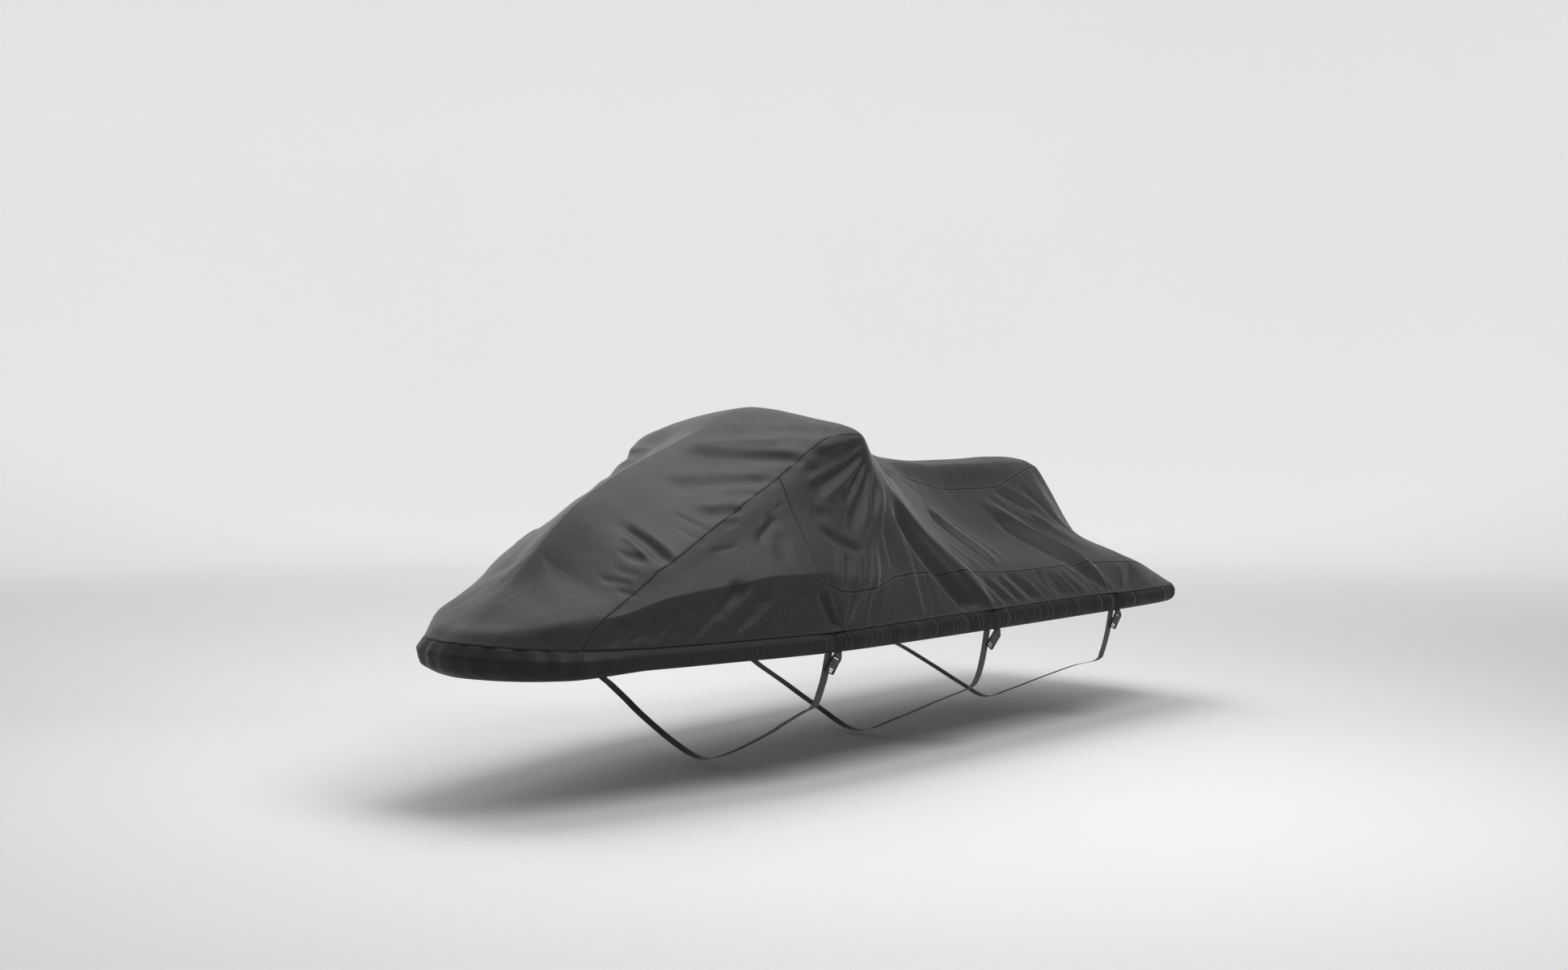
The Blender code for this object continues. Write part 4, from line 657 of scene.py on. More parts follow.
def puckers(side, distance_to_rail):
    """Small folds that rise from the gathered band seam into the lower panel."""
    run = run_along(side.rail)[:, None]
    ridge, strength = gathers(run - PUCKER_LEAN * distance_to_rail, side.side)
    reach = PUCKER_REACH[0] + PUCKER_REACH[1] * strength
    fade = np.clip(1.0 - distance_to_rail / reach, 0.0, 1.0) ** 2
    aft = np.where(side.rail[:, 0] > PUCKER_START, 1.0, PUCKER_FORWARD)
    elastic = ((1.0 - bow_share(side.place)) * aft)[:, None]
    return PUCKER_HEIGHT * (ridge - PUCKER_MEAN) * strength * fade * elastic * centre_calm(side)


def dressed(side, lengths, sizes, sewn):
    """A panel's points: the skin with its folds, creases, swells, puckers and seam relief."""
    base = side.at(lengths)
    to_rail = side.marks[:, -1:] - lengths
    height = fold_height(base, side.side, MAIN_FOLDS)
    height = height + sizes.crease_depth * fold_height(base, side.side, CREASES, CREASE_SPREAD, sharp=True)
    height = height + shallow_waves(base, sizes.swell_depth)
    height = height * np.clip(to_rail / HEM_CALM, HEM_FOLDS_LEFT, 1.0)
    height = height + puckers(side, to_rail) + seam_relief(sewn)
    return base + normals_of(base) * height[..., None]


# -------------------------------------------------------------------------------------- meshes and pieces


def linked(name, data):
    """A new object of some data, in the scene."""
    made = bpy.data.objects.new(name, data)
    bpy.context.scene.collection.objects.link(made)
    return made


def grid_faces(grid, first=0):
    """Quads over a grid of points, which are numbered from the first one."""
    rows, columns = grid.shape[:2]
    number = first + np.arange(rows * columns).reshape(rows, columns)
    quads = np.stack([number[:-1, :-1], number[1:, :-1], number[1:, 1:], number[:-1, 1:]], axis=-1)
    return quads.reshape(-1, 4)


def grid_object(name, points, attributes=None):
    """A surface over a grid of points, welded where its edges meet, facing out, with point attributes."""
    return face_object(name, points.reshape(-1, 3), grid_faces(points), attributes)


def face_object(name, points, quads, attributes=None):
    """A mesh of points and quads, welded, smooth, and turned to face away from the inside of the cover."""
    corners = points[quads]
    normal = np.cross(corners[:, 2] - corners[:, 0], corners[:, 3] - corners[:, 1])
    if ((corners.mean(axis=1) - np.array(INSIDE)) * normal).sum() < 0.0:
        quads = quads[:, ::-1]
    mesh = bpy.data.meshes.new(name)
    mesh.from_pydata(points.tolist(), [], quads.tolist())
    for key, values in (attributes or {}).items():
        made = mesh.attributes.new(key, "FLOAT", "POINT")
        made.data.foreach_set("value", np.ravel(values).astype(np.float32))
    work = bmesh.new()
    work.from_mesh(mesh)
    bmesh.ops.remove_doubles(work, verts=work.verts, dist=WELD)
    bmesh.ops.dissolve_degenerate(work, edges=work.edges, dist=DEGENERATE)
    work.to_mesh(mesh)
    work.free()
    mesh.shade_smooth()
    return linked(name, mesh)


def finish_sheet(context, piece, node):
    sizes, colours = context.scene.cover_sizes, context.scene.cover_colours
    is_band = node.endswith("_band")
    piece.data.materials.append(woven_cloth(node + " cloth", colours, sizes, is_band))
    piece.data.materials.append(coated_back(node + " coating", colours))
    solid = piece.modifiers.new("thickness", "SOLIDIFY")
    solid.thickness = sizes.sheet
    solid.offset = -1.0
    solid.material_offset = 1
    solid.material_offset_rim = 0
    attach(piece, "root")
    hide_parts(node)


def finish_piece(piece, material, nodes=()):
    """Gives a piece its material, and sets it in place of the solids that it stands for."""
    piece.data.materials.clear()
    piece.data.materials.append(material)
    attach(piece, "root")
    if nodes:
        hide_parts(*nodes)


# ------------------------------------------------------------------------------------------------ finishes


def maths(operation, swapped=False):
    """A method that adds a Math node: of the signal itself and the other values, or the other way round."""
    def method(self, *others):
        values = (*others, self) if swapped else (self, *others)
        return self.finish.node("ShaderNodeMath", {"operation": operation}, dict(enumerate(values)))
    return method


class Signal:
    """A number that varies over a surface; arithmetic on it adds Math nodes."""

    def __init__(self, finish, socket):
        self.finish, self.socket = finish, socket

    __add__ = __radd__ = maths("ADD")
    __sub__, __rsub__ = maths("SUBTRACT"), maths("SUBTRACT", swapped=True)
    __mul__ = __rmul__ = maths("MULTIPLY")
    __truediv__ = maths("DIVIDE")
    __lt__, __gt__ = maths("LESS_THAN"), maths("GREATER_THAN")
    sine, size, fraction = maths("SINE"), maths("ABSOLUTE"), maths("FRACT")
    at_least, at_most = maths("MAXIMUM"), maths("MINIMUM")

    def clamp(self):
        """The signal, held between 0 and 1."""
        return self.at_least(0.0).at_most(1.0)


class Finish:
    """A material under construction."""

    def __init__(self, name, constants):
        self.material = bpy.data.materials.new(name)
        self.material.use_nodes = True
        self.nodes, self.links = self.material.node_tree.nodes, self.material.node_tree.links
        self.shader = self.nodes["Principled BSDF"]
        for key, value in constants.items():
            self.shader.inputs[key].default_value = value

    def node(self, kind, settings=None, inputs=None, output=0):
        """Adds a node: its settings first, then the values or links of its inputs."""
        made = self.nodes.new(kind)
        for key, value in (settings or {}).items():
            setattr(made, key, value)
        for key, value in (inputs or {}).items():
            self.feed(made.inputs[key], value)
        return Signal(self, made.outputs[output])

    def feed(self, socket, value):
        """Links a signal to a socket, or sets the socket's own value."""
        if isinstance(value, Signal):
            self.links.new(value.socket, socket)
        else:
            socket.default_value = value

    def place(self):
        """Object coordinates."""
        return self.node("ShaderNodeTexCoord", output="Object")

    def axes(self):
        """The three object coordinates as numbers."""
        place = self.place()
        return [self.node("ShaderNodeSeparateXYZ", inputs={0: place}, output=k) for k in range(3)]

    def noise(self, scale, detail=3.0, rough=0.5, stretch=(1.0, 1.0, 1.0)):
        """Noise on object coordinates, from 0 to 1."""
        place = self.node("ShaderNodeMapping", inputs={"Vector": self.place(), "Scale": stretch})
        return self.node("ShaderNodeTexNoise", inputs={"Vector": place, "Scale": scale, "Detail": detail,
                                                       "Roughness": rough}, output="Fac")

    def attribute(self, name):
        """A point attribute of the mesh."""
        return self.node("ShaderNodeAttribute", {"attribute_name": name}, output="Fac")

    def colour(self, low, high, factor):
        """A colour between two, each a colour or a signal, by a factor."""
        made = self.nodes.new("ShaderNodeMix")
        made.data_type = "RGBA"
        self.feed(made.inputs["Factor"], factor)
        ends = [socket for socket in made.inputs if socket.type == "RGBA"]
        for socket, value in zip(ends, (low, high)):
            self.feed(socket, value if isinstance(value, Signal) else (*value, 1.0))
        return Signal(self, next(socket for socket in made.outputs if socket.type == "RGBA"))

    def bump(self, height, distance, strength=1.0, normal=None):
        """A bump of a height signal, on top of another where one is given."""
        inputs = {"Height": height, "Distance": distance, "Strength": strength}
        if normal is not None:
            inputs["Normal"] = normal
        return self.node("ShaderNodeBump", inputs=inputs)

    def set(self, **inputs):
        """Feeds the shader's own sockets."""
        for key, value in inputs.items():
            self.feed(self.shader.inputs[key.replace("_", " ").title()], value)
        return self.material


def shade(colour, factor):
    """A colour made lighter or darker."""
    return tuple(min(1.0, channel * factor) for channel in colour)


def woven_cloth(name, colours, sizes, gathered):
    """Coated polyester: plain weave, soft crumple, uneven tone, painted shade and lockstitching beside the
    seams.
    """
    finish = Finish(name, {key: values[gathered] for key, values in CLOTH_GLOSS.items()})
    x, y, z = finish.axes()
    turn = TURN / sizes.yarn_pitch
    weave = (x * turn).sine() * ((y + z) * (turn * 0.8)).sine()
    crumple = finish.noise(26.0, detail=4.0, rough=0.55, stretch=(1.0, 1.0, 0.7))
    soft = finish.noise(5.5, detail=2.0)
    edge, along = finish.attribute("edge_m"), finish.attribute("along_m")
    from_row = (edge - STITCH_LINE).size()
    row = (from_row < STITCH_HALF) * ((along / sizes.stitch_pitch).fraction() < STITCH_SHARE)
    furrow = from_row < STITCH_FURROW
    tone = finish.colour(shade(colours.cloth, 0.88), shade(colours.cloth, 1.14), soft * 0.7 + crumple * 0.3)
    # painted shade: the cloth's colour darkens towards a sewn edge, and the same mask also makes the cloth
    # rougher there
    seam = (1.0 - edge / SEAM_DARK).clamp()
    tone = finish.colour(tone, shade(colours.cloth, SEAM_SHADE), seam)
    tone = finish.colour(tone, colours.thread, row)
    normal = finish.bump(crumple, CRUMPLE_BUMP[gathered], 0.6)
    normal = finish.bump(weave, WEAVE_BUMP, 0.6, normal)
    normal = finish.bump(row - furrow * 0.6, STITCH_BUMP, 0.8, normal)
    rough = finish.noise(9.0, detail=3.0) * 0.10 + (colours.cloth_roughness - 0.05) + seam * 0.4
    return finish.set(base_color=tone, roughness=rough, normal=normal)


def coated_back(name, colours):
    """The coated inside of the cloth: smoother, with a faint grain."""
    finish = Finish(name, {"Roughness": 0.50, "IOR": 1.46})
    grain = finish.noise(180.0, detail=2.0)
    tone = finish.colour(shade(colours.coating, 0.85), shade(colours.coating, 1.15), finish.noise(7.0))
    return finish.set(base_color=tone, normal=finish.bump(grain, 0.0003, 0.4))


def webbing_weave(name, colours):
    """Flat webbing: ribs along it, picks across it, and firm woven edges."""
    finish = Finish(name, {"Roughness": 0.62, "Sheen Weight": 0.2, "Sheen Roughness": 0.4})
    across, along = finish.attribute("across_m"), finish.attribute("along_m")
    ribs = (across * (TURN / RIB_PITCH)).sine()
    picks = (along * (TURN / PICK_PITCH)).sine()
    border = across.size() > WEBBING_WIDTH / 2 - WEBBING_BORDER
    tone = finish.colour(shade(colours.webbing, 0.8), shade(colours.webbing, 1.5), ribs * picks * 0.35 + 0.5)
    normal = finish.bump(ribs * 0.6 + picks * ribs * 0.4 - border * 0.5, 0.0003, 0.7)
    return finish.set(base_color=tone, normal=normal)


def moulded_plastic(name, colours):
    """Acetal with a fine spark-eroded grain, worn a little smoother in patches."""
    finish = Finish(name, {"IOR": 1.48})
    grain = finish.noise(1400.0, detail=2.0)
    wear = finish.noise(60.0, detail=2.0)
    tone = finish.colour(shade(colours.buckle, 0.85), shade(colours.buckle, 1.25), wear)
    return finish.set(base_color=tone, roughness=wear * 0.18 + 0.28, normal=finish.bump(grain, 0.00006, 0.5))


def studio_paper(name):
    """The pale seamless floor and wall; the wall behind the cover, as the camera sees it, glows."""
    finish = Finish(name, {"Roughness": 0.92, "Specular IOR Level": 0.1, "Emission Strength": 1.0})
    x, y, _ = finish.axes()
    behind = (x * math.sin(CAMERA_HEADING) + y * math.cos(CAMERA_HEADING)) * (1.0 / STUDIO_RADIUS)
    behind = (behind * GLOW_SLOPE - GLOW_START).clamp()
    tone = finish.colour(*((grey, grey, grey) for grey in PAPER_TONES), finish.noise(0.35))
    glow = finish.colour((0.0, 0.0, 0.0), WALL_GLOW, behind)
    return finish.set(base_color=tone, emission_color=glow)


# ----------------------------------------------------------------------------------------------- settings


def metres(name, description, default, low, high):
    """A length in metres that a user can change."""
    return FloatProperty(name=name, description=description, default=default, min=low, max=high,
                         unit="LENGTH")


def ratio(name, description, default, high):
    """A factor from 0 up that a user can change."""
    return FloatProperty(name=name, description=description, default=default, min=0.0, max=high,
                         subtype="FACTOR")


def tint(name, description, default):
    """A colour that a user can change."""
    return FloatVectorProperty(name=name, description=description, subtype="COLOR", size=3,
                               default=default, min=0.0, max=1.0)


class CoverSizes(bpy.types.PropertyGroup):
    """Sizes that a user would change."""

    fine: IntProperty(name="Fineness", description="Columns of the sheets in each face of the solids",
                      default=7, min=1, max=12)
    sheet: metres("Sheet thickness", "Thickness of the cloth", 0.0012, 0.0005, 0.003)
    crease_depth: ratio("Crease depth", "Share of the small creases' height", 1.0, 2.0)
    swell_depth: metres("Swell depth", "Height of the gentle swells of loose cloth", 0.0014, 0.0, 0.01)
    ruffle: metres("Ruffle depth", "Depth of the elastic band's gathers", 0.0095, 0.0, 0.02)
    yarn_pitch: metres("Yarn pitch", "From one yarn of the cloth to the next but one", 0.0016, 0.0004, 0.01)
    stitch_pitch: metres("Stitch pitch", "From one stitch to the next", 0.0042, 0.001, 0.01)
    webbing: metres("Webbing thickness", "Thickness of the straps' webbing", 0.0016, 0.0005, 0.004)


class CoverColours(bpy.types.PropertyGroup):
    """Colours and gloss that a user would change."""

    cloth: tint("Cloth", "Colour of the woven face", (0.0142, 0.0137, 0.0170))
    coating: tint("Coating", "Colour of the coated inside", (0.030, 0.030, 0.032))
    thread: tint("Thread", "Colour of the stitching", (0.022, 0.022, 0.025))
    webbing: tint("Webbing", "Colour of the straps", (0.012, 0.012, 0.013))
    buckle: tint("Buckle", "Colour of the buckles", (0.020, 0.020, 0.022))
    cloth_roughness: ratio("Cloth roughness", "Roughness of the woven face", 0.56, 1.0)


def sides(fine):
    """Both sides of the skin, measured at this many columns for each face of the solids."""
    place = column_places(fine)
    return {side: Side(place, side) for side in (PORT, STARBOARD)}


def run_over(side, grid):
    """Length along the rail from the bow, at every point of a grid."""
    return np.broadcast_to(run_along(side.rail)[:, None], grid.shape)


def front_edge_distance(side):
    """Distance of every column from the gusset's front seam, along the rail."""
    return np.abs(side.rail[:, 0] - np.interp(GUSSET_START, side.place, side.rail[:, 0]))


# ----------------------------------------------------------------------------------------------- operators


class COVER_OT_centre_panel(bpy.types.Operator):
    """Adds the panel that runs from the bow over the dome and the seat to the stern."""

    bl_idname = "cover.centre_panel"
    bl_label = "Centre Panel"

    def execute(self, context):
        sizes = context.scene.cover_sizes
        parts = []
        for side in sides(sizes.fine).values():
            lengths = rows_between(side.marks[:, 0], side.marks[:, 1], HOOD_FACES)
            edge = side.marks[:, 1:2] - lengths
            parts.append((dressed(side, lengths, sizes, edge), edge, run_over(side, edge)))
        points, edge, run = (np.concatenate([port[:, ::-1], starboard[:, 1:]], axis=1)
                             for port, starboard in zip(*parts))
        piece = grid_object("centre_panel_cloth", points, {"edge_m": edge, "along_m": run})
        finish_sheet(context, piece, "centre_panel")
        return {"FINISHED"}


class COVER_OT_upper_sides(bpy.types.Operator):
    """Adds the two upper side panels, from the gusset under the dome back to the stern seam."""

    bl_idname = "cover.upper_sides"
    bl_label = "Upper Side Panels"

    def execute(self, context):
        sizes = context.scene.cover_sizes
        for key, side in sides(sizes.fine).items():
            node = "upper_side_" + SIDE_NAMES[key]
            keep = side.place >= GUSSET_START - SLACK
            lengths = rows_between(side.marks[:, 1], side.marks[:, 2], UPPER_FACES)
            edge = np.minimum(lengths - side.marks[:, 1:2], side.marks[:, 2:3] - lengths)
            edge = np.minimum(edge, front_edge_distance(side)[:, None])
            points = dressed(side, lengths, sizes, edge)
            piece = grid_object(node + "_cloth", points[keep],
                                {"edge_m": edge[keep], "along_m": run_over(side, edge)[keep]})
            finish_sheet(context, piece, node)
        return {"FINISHED"}


class COVER_OT_lower_sides(bpy.types.Operator):
    """Adds the two lower side panels, which run from the bow band's join back to the stern seam."""

    bl_idname = "cover.lower_sides"
    bl_label = "Lower Side Panels"

    def execute(self, context):
        sizes = context.scene.cover_sizes
        for key, side in sides(sizes.fine).items():
            node = "lower_side_" + SIDE_NAMES[key]
            front, to_front = side.place <= GUSSET_START + SLACK, front_edge_distance(side)
            upper = rows_between(side.marks[:, 1], side.marks[:, 2], UPPER_FACES)
            lower = rows_between(side.marks[:, 2], side.marks[:, 3], LOWER_FACES)
            upper_edge = np.minimum(upper - side.marks[:, 1:2], to_front[:, None])
            below_seam = np.hypot(lower - side.marks[:, 2:3], np.where(front, to_front, 0.0)[:, None])
            lower_edge = np.minimum(side.marks[:, 3:4] - lower, below_seam)
            points, quads, edges, runs = [], [], [], []
            for lengths, edge, keep in ((upper, upper_edge, front), (lower, lower_edge, side.place >= 0.0)):
                grid = dressed(side, lengths, sizes, edge)[keep]
                quads.append(grid_faces(grid, sum(len(part) for part in points)))
                points.append(grid.reshape(-1, 3))
                edges.append(edge[keep].ravel())
                runs.append(run_over(side, edge)[keep].ravel())
            points, quads, edges, runs = (np.concatenate(parts) for parts in (points, quads, edges, runs))
            piece = face_object(node + "_cloth", points, quads, {"edge_m": edges, "along_m": runs})
            finish_sheet(context, piece, node)
        return {"FINISHED"}


def band_offset(side, sizes, share, depth):
    """How far the hem band stands out from the rail: its form, the straps' pull, its gathers and seams."""
    bow, pull = bow_share(side.place)[:, None], strap_pull(side.rail[:, 0])[:, None]
    elastic_stands, bow_stands = (np.interp(share, *zip(*table)) for table in (ELASTIC_BAND, BOW_BAND))
    roll, roll_start = FOOT_ROLL
    bulge = roll * np.sin(math.pi * np.clip((share - roll_start) / (1.0 - roll_start), 0.0, 1.0))
    offset = elastic_stands + (bow_stands - elastic_stands) * bow + bulge - PINCH * pull * (1.0 - share)
    nick = sum(np.exp(-((side.rail[:, 0] - place) / NICK_REACH) ** 2) for place in STRAP_PLACES)
    offset = offset - PINCH_NICK * nick[:, None] * np.sin(math.pi * share)
    run = run_along(side.rail)[:, None]
    ridge, strength = gathers(run - GATHER_LEAN * share - GATHER_BOW * np.sin(math.pi * share), side.side)
    calm = centre_calm(side)
    aft = np.interp(side.rail[:, 0], *zip(*GATHER_AFT))[:, None]
    stretch, start, fullness = GATHER_SWELL
    shape = np.sin(math.pi * np.clip(share * stretch + start, 0.0, 1.0)) ** fullness
    elastic = sizes.ruffle * (ridge - GATHER_MEAN) * strength * shape * (1.0 - bow) * aft * calm
    height, waves, wander, wander_waves = BOW_RIPPLE
    slow = height * np.sin(run * waves + wander * np.sin(run * wander_waves)) * shape * bow * calm
    return offset + elastic * (1.0 + GATHER_PULLED * pull) + slow + seam_relief(share * depth[:, None])


def band_points(side, sizes, rows):
    """The hem band: a puffed strip below the rail, gathered by its elastic, and drawn in at the straps."""
    rail = side.rail + np.array([0.0, 0.0, LIFT])
    rail[:, 1] *= side.side
    tangent = np.gradient(rail, axis=0)
    outward = np.stack([tangent[:, 1], -tangent[:, 0], np.zeros(len(rail))], axis=-1)
    outward[rail[:, 1] == 0.0, 1] = 0.0
    outward *= -side.side / np.linalg.norm(outward, axis=-1, keepdims=True)
    depth = side.rail[:, 2] + BOW_HEM_DROP * bow_share(side.place)
    share = np.linspace(0.0, 1.0, rows + 1)
    points = rail[:, None, :] + outward[:, None, :] * band_offset(side, sizes, share, depth)[..., None]
    points[..., 2] = rail[:, None, 2] - depth[:, None] * share
    edge = np.minimum(share, 1.0 - share) * depth[:, None]
    return points, edge, run_over(side, edge)


class COVER_OT_bands(bpy.types.Operator):
    """Adds the smooth band round the bow and the elastic band along the sides and the stern."""

    bl_idname = "cover.bands"
    bl_label = "Hem Bands"

    def execute(self, context):
        sizes = context.scene.cover_sizes
        both = sides(int(sizes.fine * BAND_FINENESS))
        place = both[PORT].place
        for node, flat, area, held in BAND_CUTS:
            at_bow = node == "bow_band"
            keep = place <= BAND_JOIN + SLACK if at_bow else place >= BAND_JOIN - SLACK
            port, starboard = ([part[keep] for part in band_points(side, sizes, BAND_FACES)]
                               for side in both.values())
            if at_bow:
                port = [part[::-1] for part in port]
            else:
                starboard = [part[::-1] for part in starboard]
            points, edge, run = (np.concatenate([a, b[1:]]) for a, b in zip(port, starboard))
            piece = grid_object(node + "_cloth", points, {"edge_m": edge, "along_m": run})
            finish_sheet(context, piece, node)
        return {"FINISHED"}


def smooth_route(route, steps):
    """A smooth curve through a route's own points."""
    route = np.array(route)
    inner = (route[2:] - route[:-2]) / 2
    slopes = np.concatenate([[route[1] - route[0]], inner, [route[-1] - route[-2]]])
    place = np.linspace(0.0, len(route) - 1.0, (len(route) - 1) * steps + 1)
    return np.stack([cubic(route[:, k], slopes[:, k], place)[0] for k in range(route.shape[1])], axis=-1)


def webbing_object(name, route, across, thickness, width=WEBBING_WIDTH):
    """Webbing along a route: a flat section with rounded edges carried along it, closed at both ends."""
    route, across = np.array(route), np.array(across, dtype=float)
    across = np.broadcast_to(across, route.shape) / np.linalg.norm(across, axis=-1, keepdims=True)
    tangent = np.gradient(route, axis=0)
    face = np.cross(tangent, across)
    face /= np.linalg.norm(face, axis=-1, keepdims=True)
    half, deep = width / 2, thickness / 2
    section = [(-half + deep * (1 - math.cos(a)), deep * math.sin(a))
               for a in (0.0, math.pi / 4, math.pi / 2)]
    flat = [(x, deep) for x in np.linspace(-half + deep, half - deep, WEBBING_STEPS)[1:-1]]
    upper = section + flat + [(-x, y) for x, y in section[::-1]]
    ring = np.array(upper + [(-x, -y) for x, y in upper[1:-1]])
    points = route[:, None] + across[:, None] * ring[None, :, :1] + face[:, None] * ring[None, :, 1:]
    run = run_along(route)[:, None]
    number = np.arange(points.shape[0] * points.shape[1]).reshape(points.shape[:2])
    ahead = np.roll(number, -1, axis=1)
    quads = np.stack([number[:-1], ahead[:-1], ahead[1:], number[1:]], axis=-1).reshape(-1, 4)
    made = face_object(name, points.reshape(-1, 3), quads,
                       {"across_m": np.broadcast_to(ring[:, 0], points.shape[:2]),
                        "along_m": np.broadcast_to(run, points.shape[:2])})
    work = bmesh.new()
    work.from_mesh(made.data)
    bmesh.ops.holes_fill(work, edges=[edge for edge in work.edges if edge.is_boundary])
    bmesh.ops.recalc_face_normals(work, faces=work.faces)
    work.to_mesh(made.data)
    work.free()
    made.data.shade_smooth()
    made.data.set_sharp_from_angle(angle=WEBBING_SHARP)
    return made


def hem_out(x):
    """How far out from the centre the hem lies on the port side at x, beside a strap."""
    place = np.linspace(*STRAP_ROWS, 2 * RAIL_SAMPLES)
    rail_x, rail_y = read_column("rail_x", place), read_column("rail_y", place)
    return float(np.interp(x, rail_x, rail_y)) + ELASTIC_BAND[-1][1]


def buckle_place(row, webbing):
    """The buckle's own frame: its top edge, its way down, and its face outboard, as in the solids."""
    _, strand_x, top_x, foot_x, route = row
    strand_out = hem_out(strand_x) - webbing / 2
    stand_off = BUCKLE_THICKNESS / 2 + 2 * webbing + 2 * TOUCH
    top = Vector((top_x, -strand_out - stand_off, LIFT - TAB_DROP))
    first_out, first_height = route[0]
    near_foot = (TAB_DROP + BUCKLE_LENGTH) / -first_height
    strand_at_foot = strand_out + (first_out - strand_out) * near_foot
    foot_out = strand_at_foot + BUCKLE_THICKNESS / 2 + webbing + 4 * TOUCH
    inward = strand_out + stand_off - foot_out
    foot_drop = math.sqrt(BUCKLE_LENGTH ** 2 - (foot_x - top_x) ** 2 - inward ** 2)
    down = (Vector((foot_x, -foot_out, top.z - foot_drop)) - top).normalized()
    across = (Vector((1.0, 0.0, 0.0)) - down * down.x).normalized()
    outward = across.cross(-down)
    return Matrix.Translation(top) @ Matrix((across, -down, outward)).transposed().to_4x4()


class COVER_OT_straps(bpy.types.Operator):
    """Adds the three tie-down straps, the tabs that the buckles hang from, and the loops at their feet."""

    bl_idname = "cover.straps"
    bl_label = "Straps and Tabs"

    def execute(self, context):
        sizes, colours = context.scene.cover_sizes, context.scene.cover_colours
        for row in STRAPS:
            name, strand_x, _, _, route = row
            top = LIFT - TOUCH
            out = hem_out(strand_x) - sizes.webbing / 2
            port = [(strand_x, -y, height + LIFT) for y, height in route]
            starboard = [(x, -y, z) for x, y, z in port[-2::-1]]
            path = smooth_route([(strand_x, -out, top)] + port + starboard + [(strand_x, out, top)],
                                ROUTE_STEPS)
            strap = webbing_object(f"strap_{name}_webbing", path, (1.0, 0.0, 0.0), sizes.webbing)
            finish_piece(strap, webbing_weave(f"strap {name} webbing", colours), [f"strap_{name}"])
            self.tab(name, buckle_place(row, sizes.webbing), sizes, colours)
        return {"FINISHED"}

    def tab(self, name, place, sizes, colours):
        """The tab's webbing: from under the hem, round the buckle's top bar and back up to the hem."""
        clear = BUCKLE_THICKNESS / 2 + TOUCH + sizes.webbing / 2
        turn = (BUCKLE_BAR + TOUCH + sizes.webbing / 2) / 2
        bend = np.radians(np.linspace(90, -90, WEBBING_STEPS))
        loop = [(clear, -TAB_TUCK), (clear, turn)]
        loop += [(clear * math.sin(a), turn + turn * math.cos(a)) for a in bend]
        loop += [(-clear, turn), (-clear, -TAB_TUCK)]
        loop = [place @ Vector((0.0, -down, out)) for out, down in loop]
        hem_x = (place @ Vector((0.0, TAB_DROP, 0.0))).x
        rim = hem_out(hem_x) - CLOTH / 2
        half = sizes.webbing / 2 + TOUCH / 2
        ends = [[Vector((hem_x, -rim - side * half, LIFT - drop)) for drop in (TOUCH, TAB_SEWN)]
                for side in (1, -1)]
        route = ends[0] + loop + ends[1][::-1]
        level = Vector((1.0, 0.0, 0.0))
        across = [level] * 2 + [place.to_3x3() @ level] * len(loop) + [level] * 2
        piece = webbing_object(f"tab_{name}_webbing", [tuple(p) for p in route], [tuple(a) for a in across],
                               sizes.webbing)
        finish_piece(piece, webbing_weave(f"tab {name} webbing", colours), [f"tab_{name}"])


def moulded_plate(name, outlines, place, low, high, bevel=PLATE_BEVEL):
    """A moulded plate between two depths of the buckle's frame: closed outlines, filled, with soft edges."""
    curve = bpy.data.curves.new(name, "CURVE")
    curve.dimensions = "2D"
    curve.fill_mode = "BOTH"
    curve.extrude = (high - low) / 2 - bevel
    curve.bevel_depth = bevel
    curve.bevel_resolution = 2
    curve.offset = -bevel
    for outline in outlines:
        spline = curve.splines.new("POLY")
        spline.points.add(len(outline) - 1)
        for point, (across, down) in zip(spline.points, outline):
            point.co = (across, -down, 0.0, 1.0)
        spline.use_cyclic_u = True
    drawn = linked(name, curve)
    bpy.context.view_layer.update()
    mesh = bpy.data.meshes.new_from_object(drawn.evaluated_get(bpy.context.evaluated_depsgraph_get()))
    bpy.data.objects.remove(drawn)
    work = bmesh.new()
    work.from_mesh(mesh)
    bmesh.ops.remove_doubles(work, verts=work.verts, dist=PLATE_WELD)
    bmesh.ops.recalc_face_normals(work, faces=work.faces)
    work.transform(place @ Matrix.Translation((0.0, 0.0, (low + high) / 2)))
    work.to_mesh(mesh)
    work.free()
    mesh.shade_smooth()
    mesh.set_sharp_from_angle(angle=PLATE_SHARP)
    return linked(name, mesh)


def rounded(left, right, top, bottom, radius, steps=4):
    """A rectangle with rounded corners, clockwise from its top left."""
    corners = ((right - radius, top + radius, -90), (right - radius, bottom - radius, 0),
               (left + radius, bottom - radius, 90), (left + radius, top + radius, 180))
    return [(x + radius * math.cos(math.radians(start + 90 * k / steps)),
             y + radius * math.sin(math.radians(start + 90 * k / steps)))
            for x, y, start in corners for k in range(steps + 1)]


def mirrored(right):
    """A closed outline from the points of its right half: its first point is mirrored to start it."""
    return [(-across, down) for across, down in right[:1]] + right + [
        (-across, down) for across, down in right[:0:-1]]


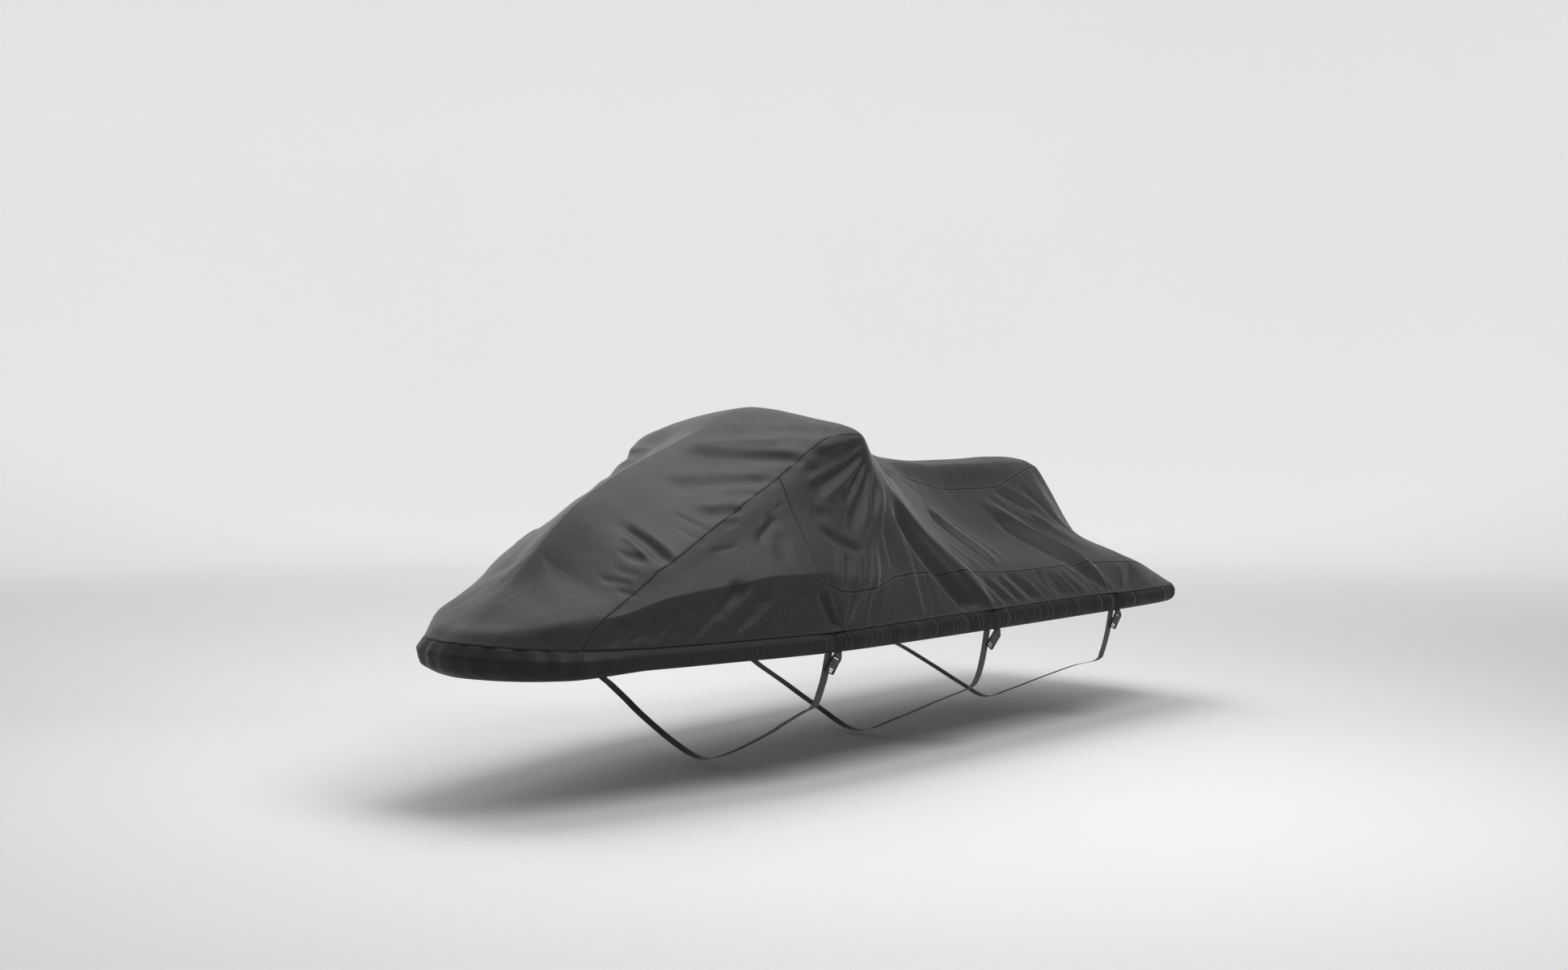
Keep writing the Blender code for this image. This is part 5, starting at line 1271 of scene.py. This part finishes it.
class COVER_OT_buckles(bpy.types.Operator):
    """Adds the three side-release buckles, each a socket and the prongs that are latched in it."""

    bl_idname = "cover.buckles"
    bl_label = "Buckles"

    def execute(self, context):
        sizes, colours = context.scene.cover_sizes, context.scene.cover_colours
        plastic = moulded_plastic("buckle plastic", colours)
        half, slot = BUCKLE_WIDTH / 2, WEBBING_WIDTH / 2 + 2 * TOUCH
        deep = BUCKLE_THICKNESS / 2
        neck = half - LATCH_WIDTH - TOUCH
        shoulder, foot = SOCKET_LENGTH / 2, BUCKLE_LENGTH
        socket = mirrored([(half - CORNER, 0.0), (half, CORNER), (half, shoulder - SHOULDER_CORNER),
                           (half - SHOULDER_CORNER, shoulder), (neck, shoulder), (neck, SOCKET_LENGTH)])
        socket_slot = rounded(-slot, slot, BUCKLE_BAR, BUCKLE_BAR + BUCKLE_SLOT, SLOT_CORNER)
        arm, crotch, reach = neck + TOUCH, SOCKET_LENGTH + TOUCH, shoulder + TOUCH
        prongs = mirrored([(arm, crotch), (arm, reach), (half - CORNER, reach), (half, reach + CORNER),
                           (half, foot - CORNER), (half - CORNER, foot)])
        slot_ends = (foot - BUCKLE_BAR, foot - BUCKLE_BAR - BUCKLE_SLOT - SLOT_GAP)
        prong_slots = [rounded(-slot, slot, end - BUCKLE_SLOT, end, SLOT_CORNER) for end in slot_ends]
        window = [rounded(inset - neck, neck - inset, WINDOW_TOP - WINDOW_SIDE + inset,
                          WINDOW_BOTTOM + WINDOW_SIDE - inset, radius)
                  for inset, radius in zip((WINDOW_SIDE, WINDOW_SIDE + RIM_WIDTH), RIM_CORNERS)]
        for row in STRAPS:
            name, place = row[0], buckle_place(row, sizes.webbing)
            body = moulded_plate(f"buckle_{name}_socket_shell", [socket, socket_slot], place, -deep, deep)
            finish_piece(body, plastic, [f"buckle_{name}_socket"])
            latch = moulded_plate(f"buckle_{name}_prongs_frame", [prongs] + prong_slots, place, -deep, deep)
            finish_piece(latch, plastic, [f"buckle_{name}_prongs"])
            rim = moulded_plate(f"buckle_{name}_window_rim", window, place, deep - RIM_SUNK,
                                deep + RIM_RAISED, RIM_BEVEL)
            finish_piece(rim, plastic)
        return {"FINISHED"}


class COVER_OT_stage(bpy.types.Operator):
    """Adds the pale studio, its lights and the photograph's camera."""

    bl_idname = "cover.stage"
    bl_label = "Studio and Camera"

    def execute(self, context):
        floor = CAD_BOX[0][2] - FLOOR_GAP
        across, up, around = STUDIO_STEPS
        profile = [(radius, floor) for radius in np.linspace(0.0, STUDIO_RADIUS - STUDIO_BEND, across)]
        profile += [(STUDIO_RADIUS - STUDIO_BEND * (1.0 - math.sin(a)),
                     floor + STUDIO_BEND * (1.0 - math.cos(a)))
                    for a in np.linspace(0.0, math.pi / 2, up)[1:]]
        profile += [(STUDIO_RADIUS, floor + STUDIO_BEND + rise) for rise in WALL_RISES]
        angle = np.linspace(0.0, TURN, around)
        radius, height = np.array(profile).T
        points = np.stack([STUDIO_CENTRE + np.outer(np.cos(angle), radius), np.outer(np.sin(angle), radius),
                           np.broadcast_to(height, (len(angle), len(height)))], axis=-1)
        studio = grid_object("studio_sweep", points)
        studio.data.flip_normals()
        studio.data.materials.append(studio_paper("studio paper"))
        for light in LIGHTS:
            self.light(*light)
        world = bpy.data.worlds.new("studio air")
        world.use_nodes = True
        air = world.node_tree.nodes["Background"].inputs
        air["Color"].default_value = (1.0, 1.0, 1.0, 1.0)
        air["Strength"].default_value = AIR
        context.scene.world = world
        camera = linked("camera", bpy.data.cameras.new("camera"))
        ahead = Vector((math.sin(CAMERA_HEADING) * math.cos(CAMERA_TILT),
                        math.cos(CAMERA_HEADING) * math.cos(CAMERA_TILT), -math.sin(CAMERA_TILT)))
        camera.location = CAMERA_PLACE
        camera.rotation_euler = ahead.to_track_quat("-Z", "Y").to_euler()
        camera.data.sensor_width = SENSOR
        camera.data.lens = FOCAL_PIXELS / PICTURE_WIDTH * SENSOR
        camera.data.shift_x = (PICTURE_WIDTH / 2 - PRINCIPAL_POINT) / PICTURE_WIDTH
        camera.data.clip_end = FAR_CLIP
        context.scene.camera = camera
        context.scene.view_settings.view_transform = "Standard"
        return {"FINISHED"}

    def light(self, name, place, aim, width, height, power):
        """A soft rectangular light at a place, aimed at a point."""
        lamp = bpy.data.lights.new(name, "AREA")
        lamp.shape = "RECTANGLE"
        lamp.size, lamp.size_y, lamp.energy = width, height, power
        made = linked(name, lamp)
        made.location = place
        made.rotation_euler = (Vector(aim) - Vector(place)).to_track_quat("-Z", "Y").to_euler()


class COVER_PT_panel(bpy.types.Panel):
    """Lists the cover's pieces, sizes and colours."""

    bl_label = "Fitted Cover"
    bl_idname = "COVER_PT_panel"
    bl_space_type = "VIEW_3D"
    bl_region_type = "UI"
    bl_category = "Cover"

    def draw(self, context):
        for group in (context.scene.cover_sizes, context.scene.cover_colours):
            for name in group.__annotations__:
                self.layout.prop(group, name)
        for piece in PIECES:
            self.layout.operator(piece.bl_idname)


PIECES = (COVER_OT_centre_panel, COVER_OT_upper_sides, COVER_OT_lower_sides, COVER_OT_bands,
          COVER_OT_straps, COVER_OT_buckles, COVER_OT_stage)
CLASSES = (CoverSizes, CoverColours, *PIECES, COVER_PT_panel)


def register():
    for each in CLASSES:
        bpy.utils.register_class(each)
    bpy.types.Scene.cover_sizes = PointerProperty(type=CoverSizes)
    bpy.types.Scene.cover_colours = PointerProperty(type=CoverColours)


def unregister():
    del bpy.types.Scene.cover_colours
    del bpy.types.Scene.cover_sizes
    for each in reversed(CLASSES):
        bpy.utils.unregister_class(each)


def main():
    """Builds every piece."""
    register()
    for piece in PIECES:
        getattr(bpy.ops.cover, piece.bl_idname.split(".")[1])()


if __name__ == "__main__":
    main()
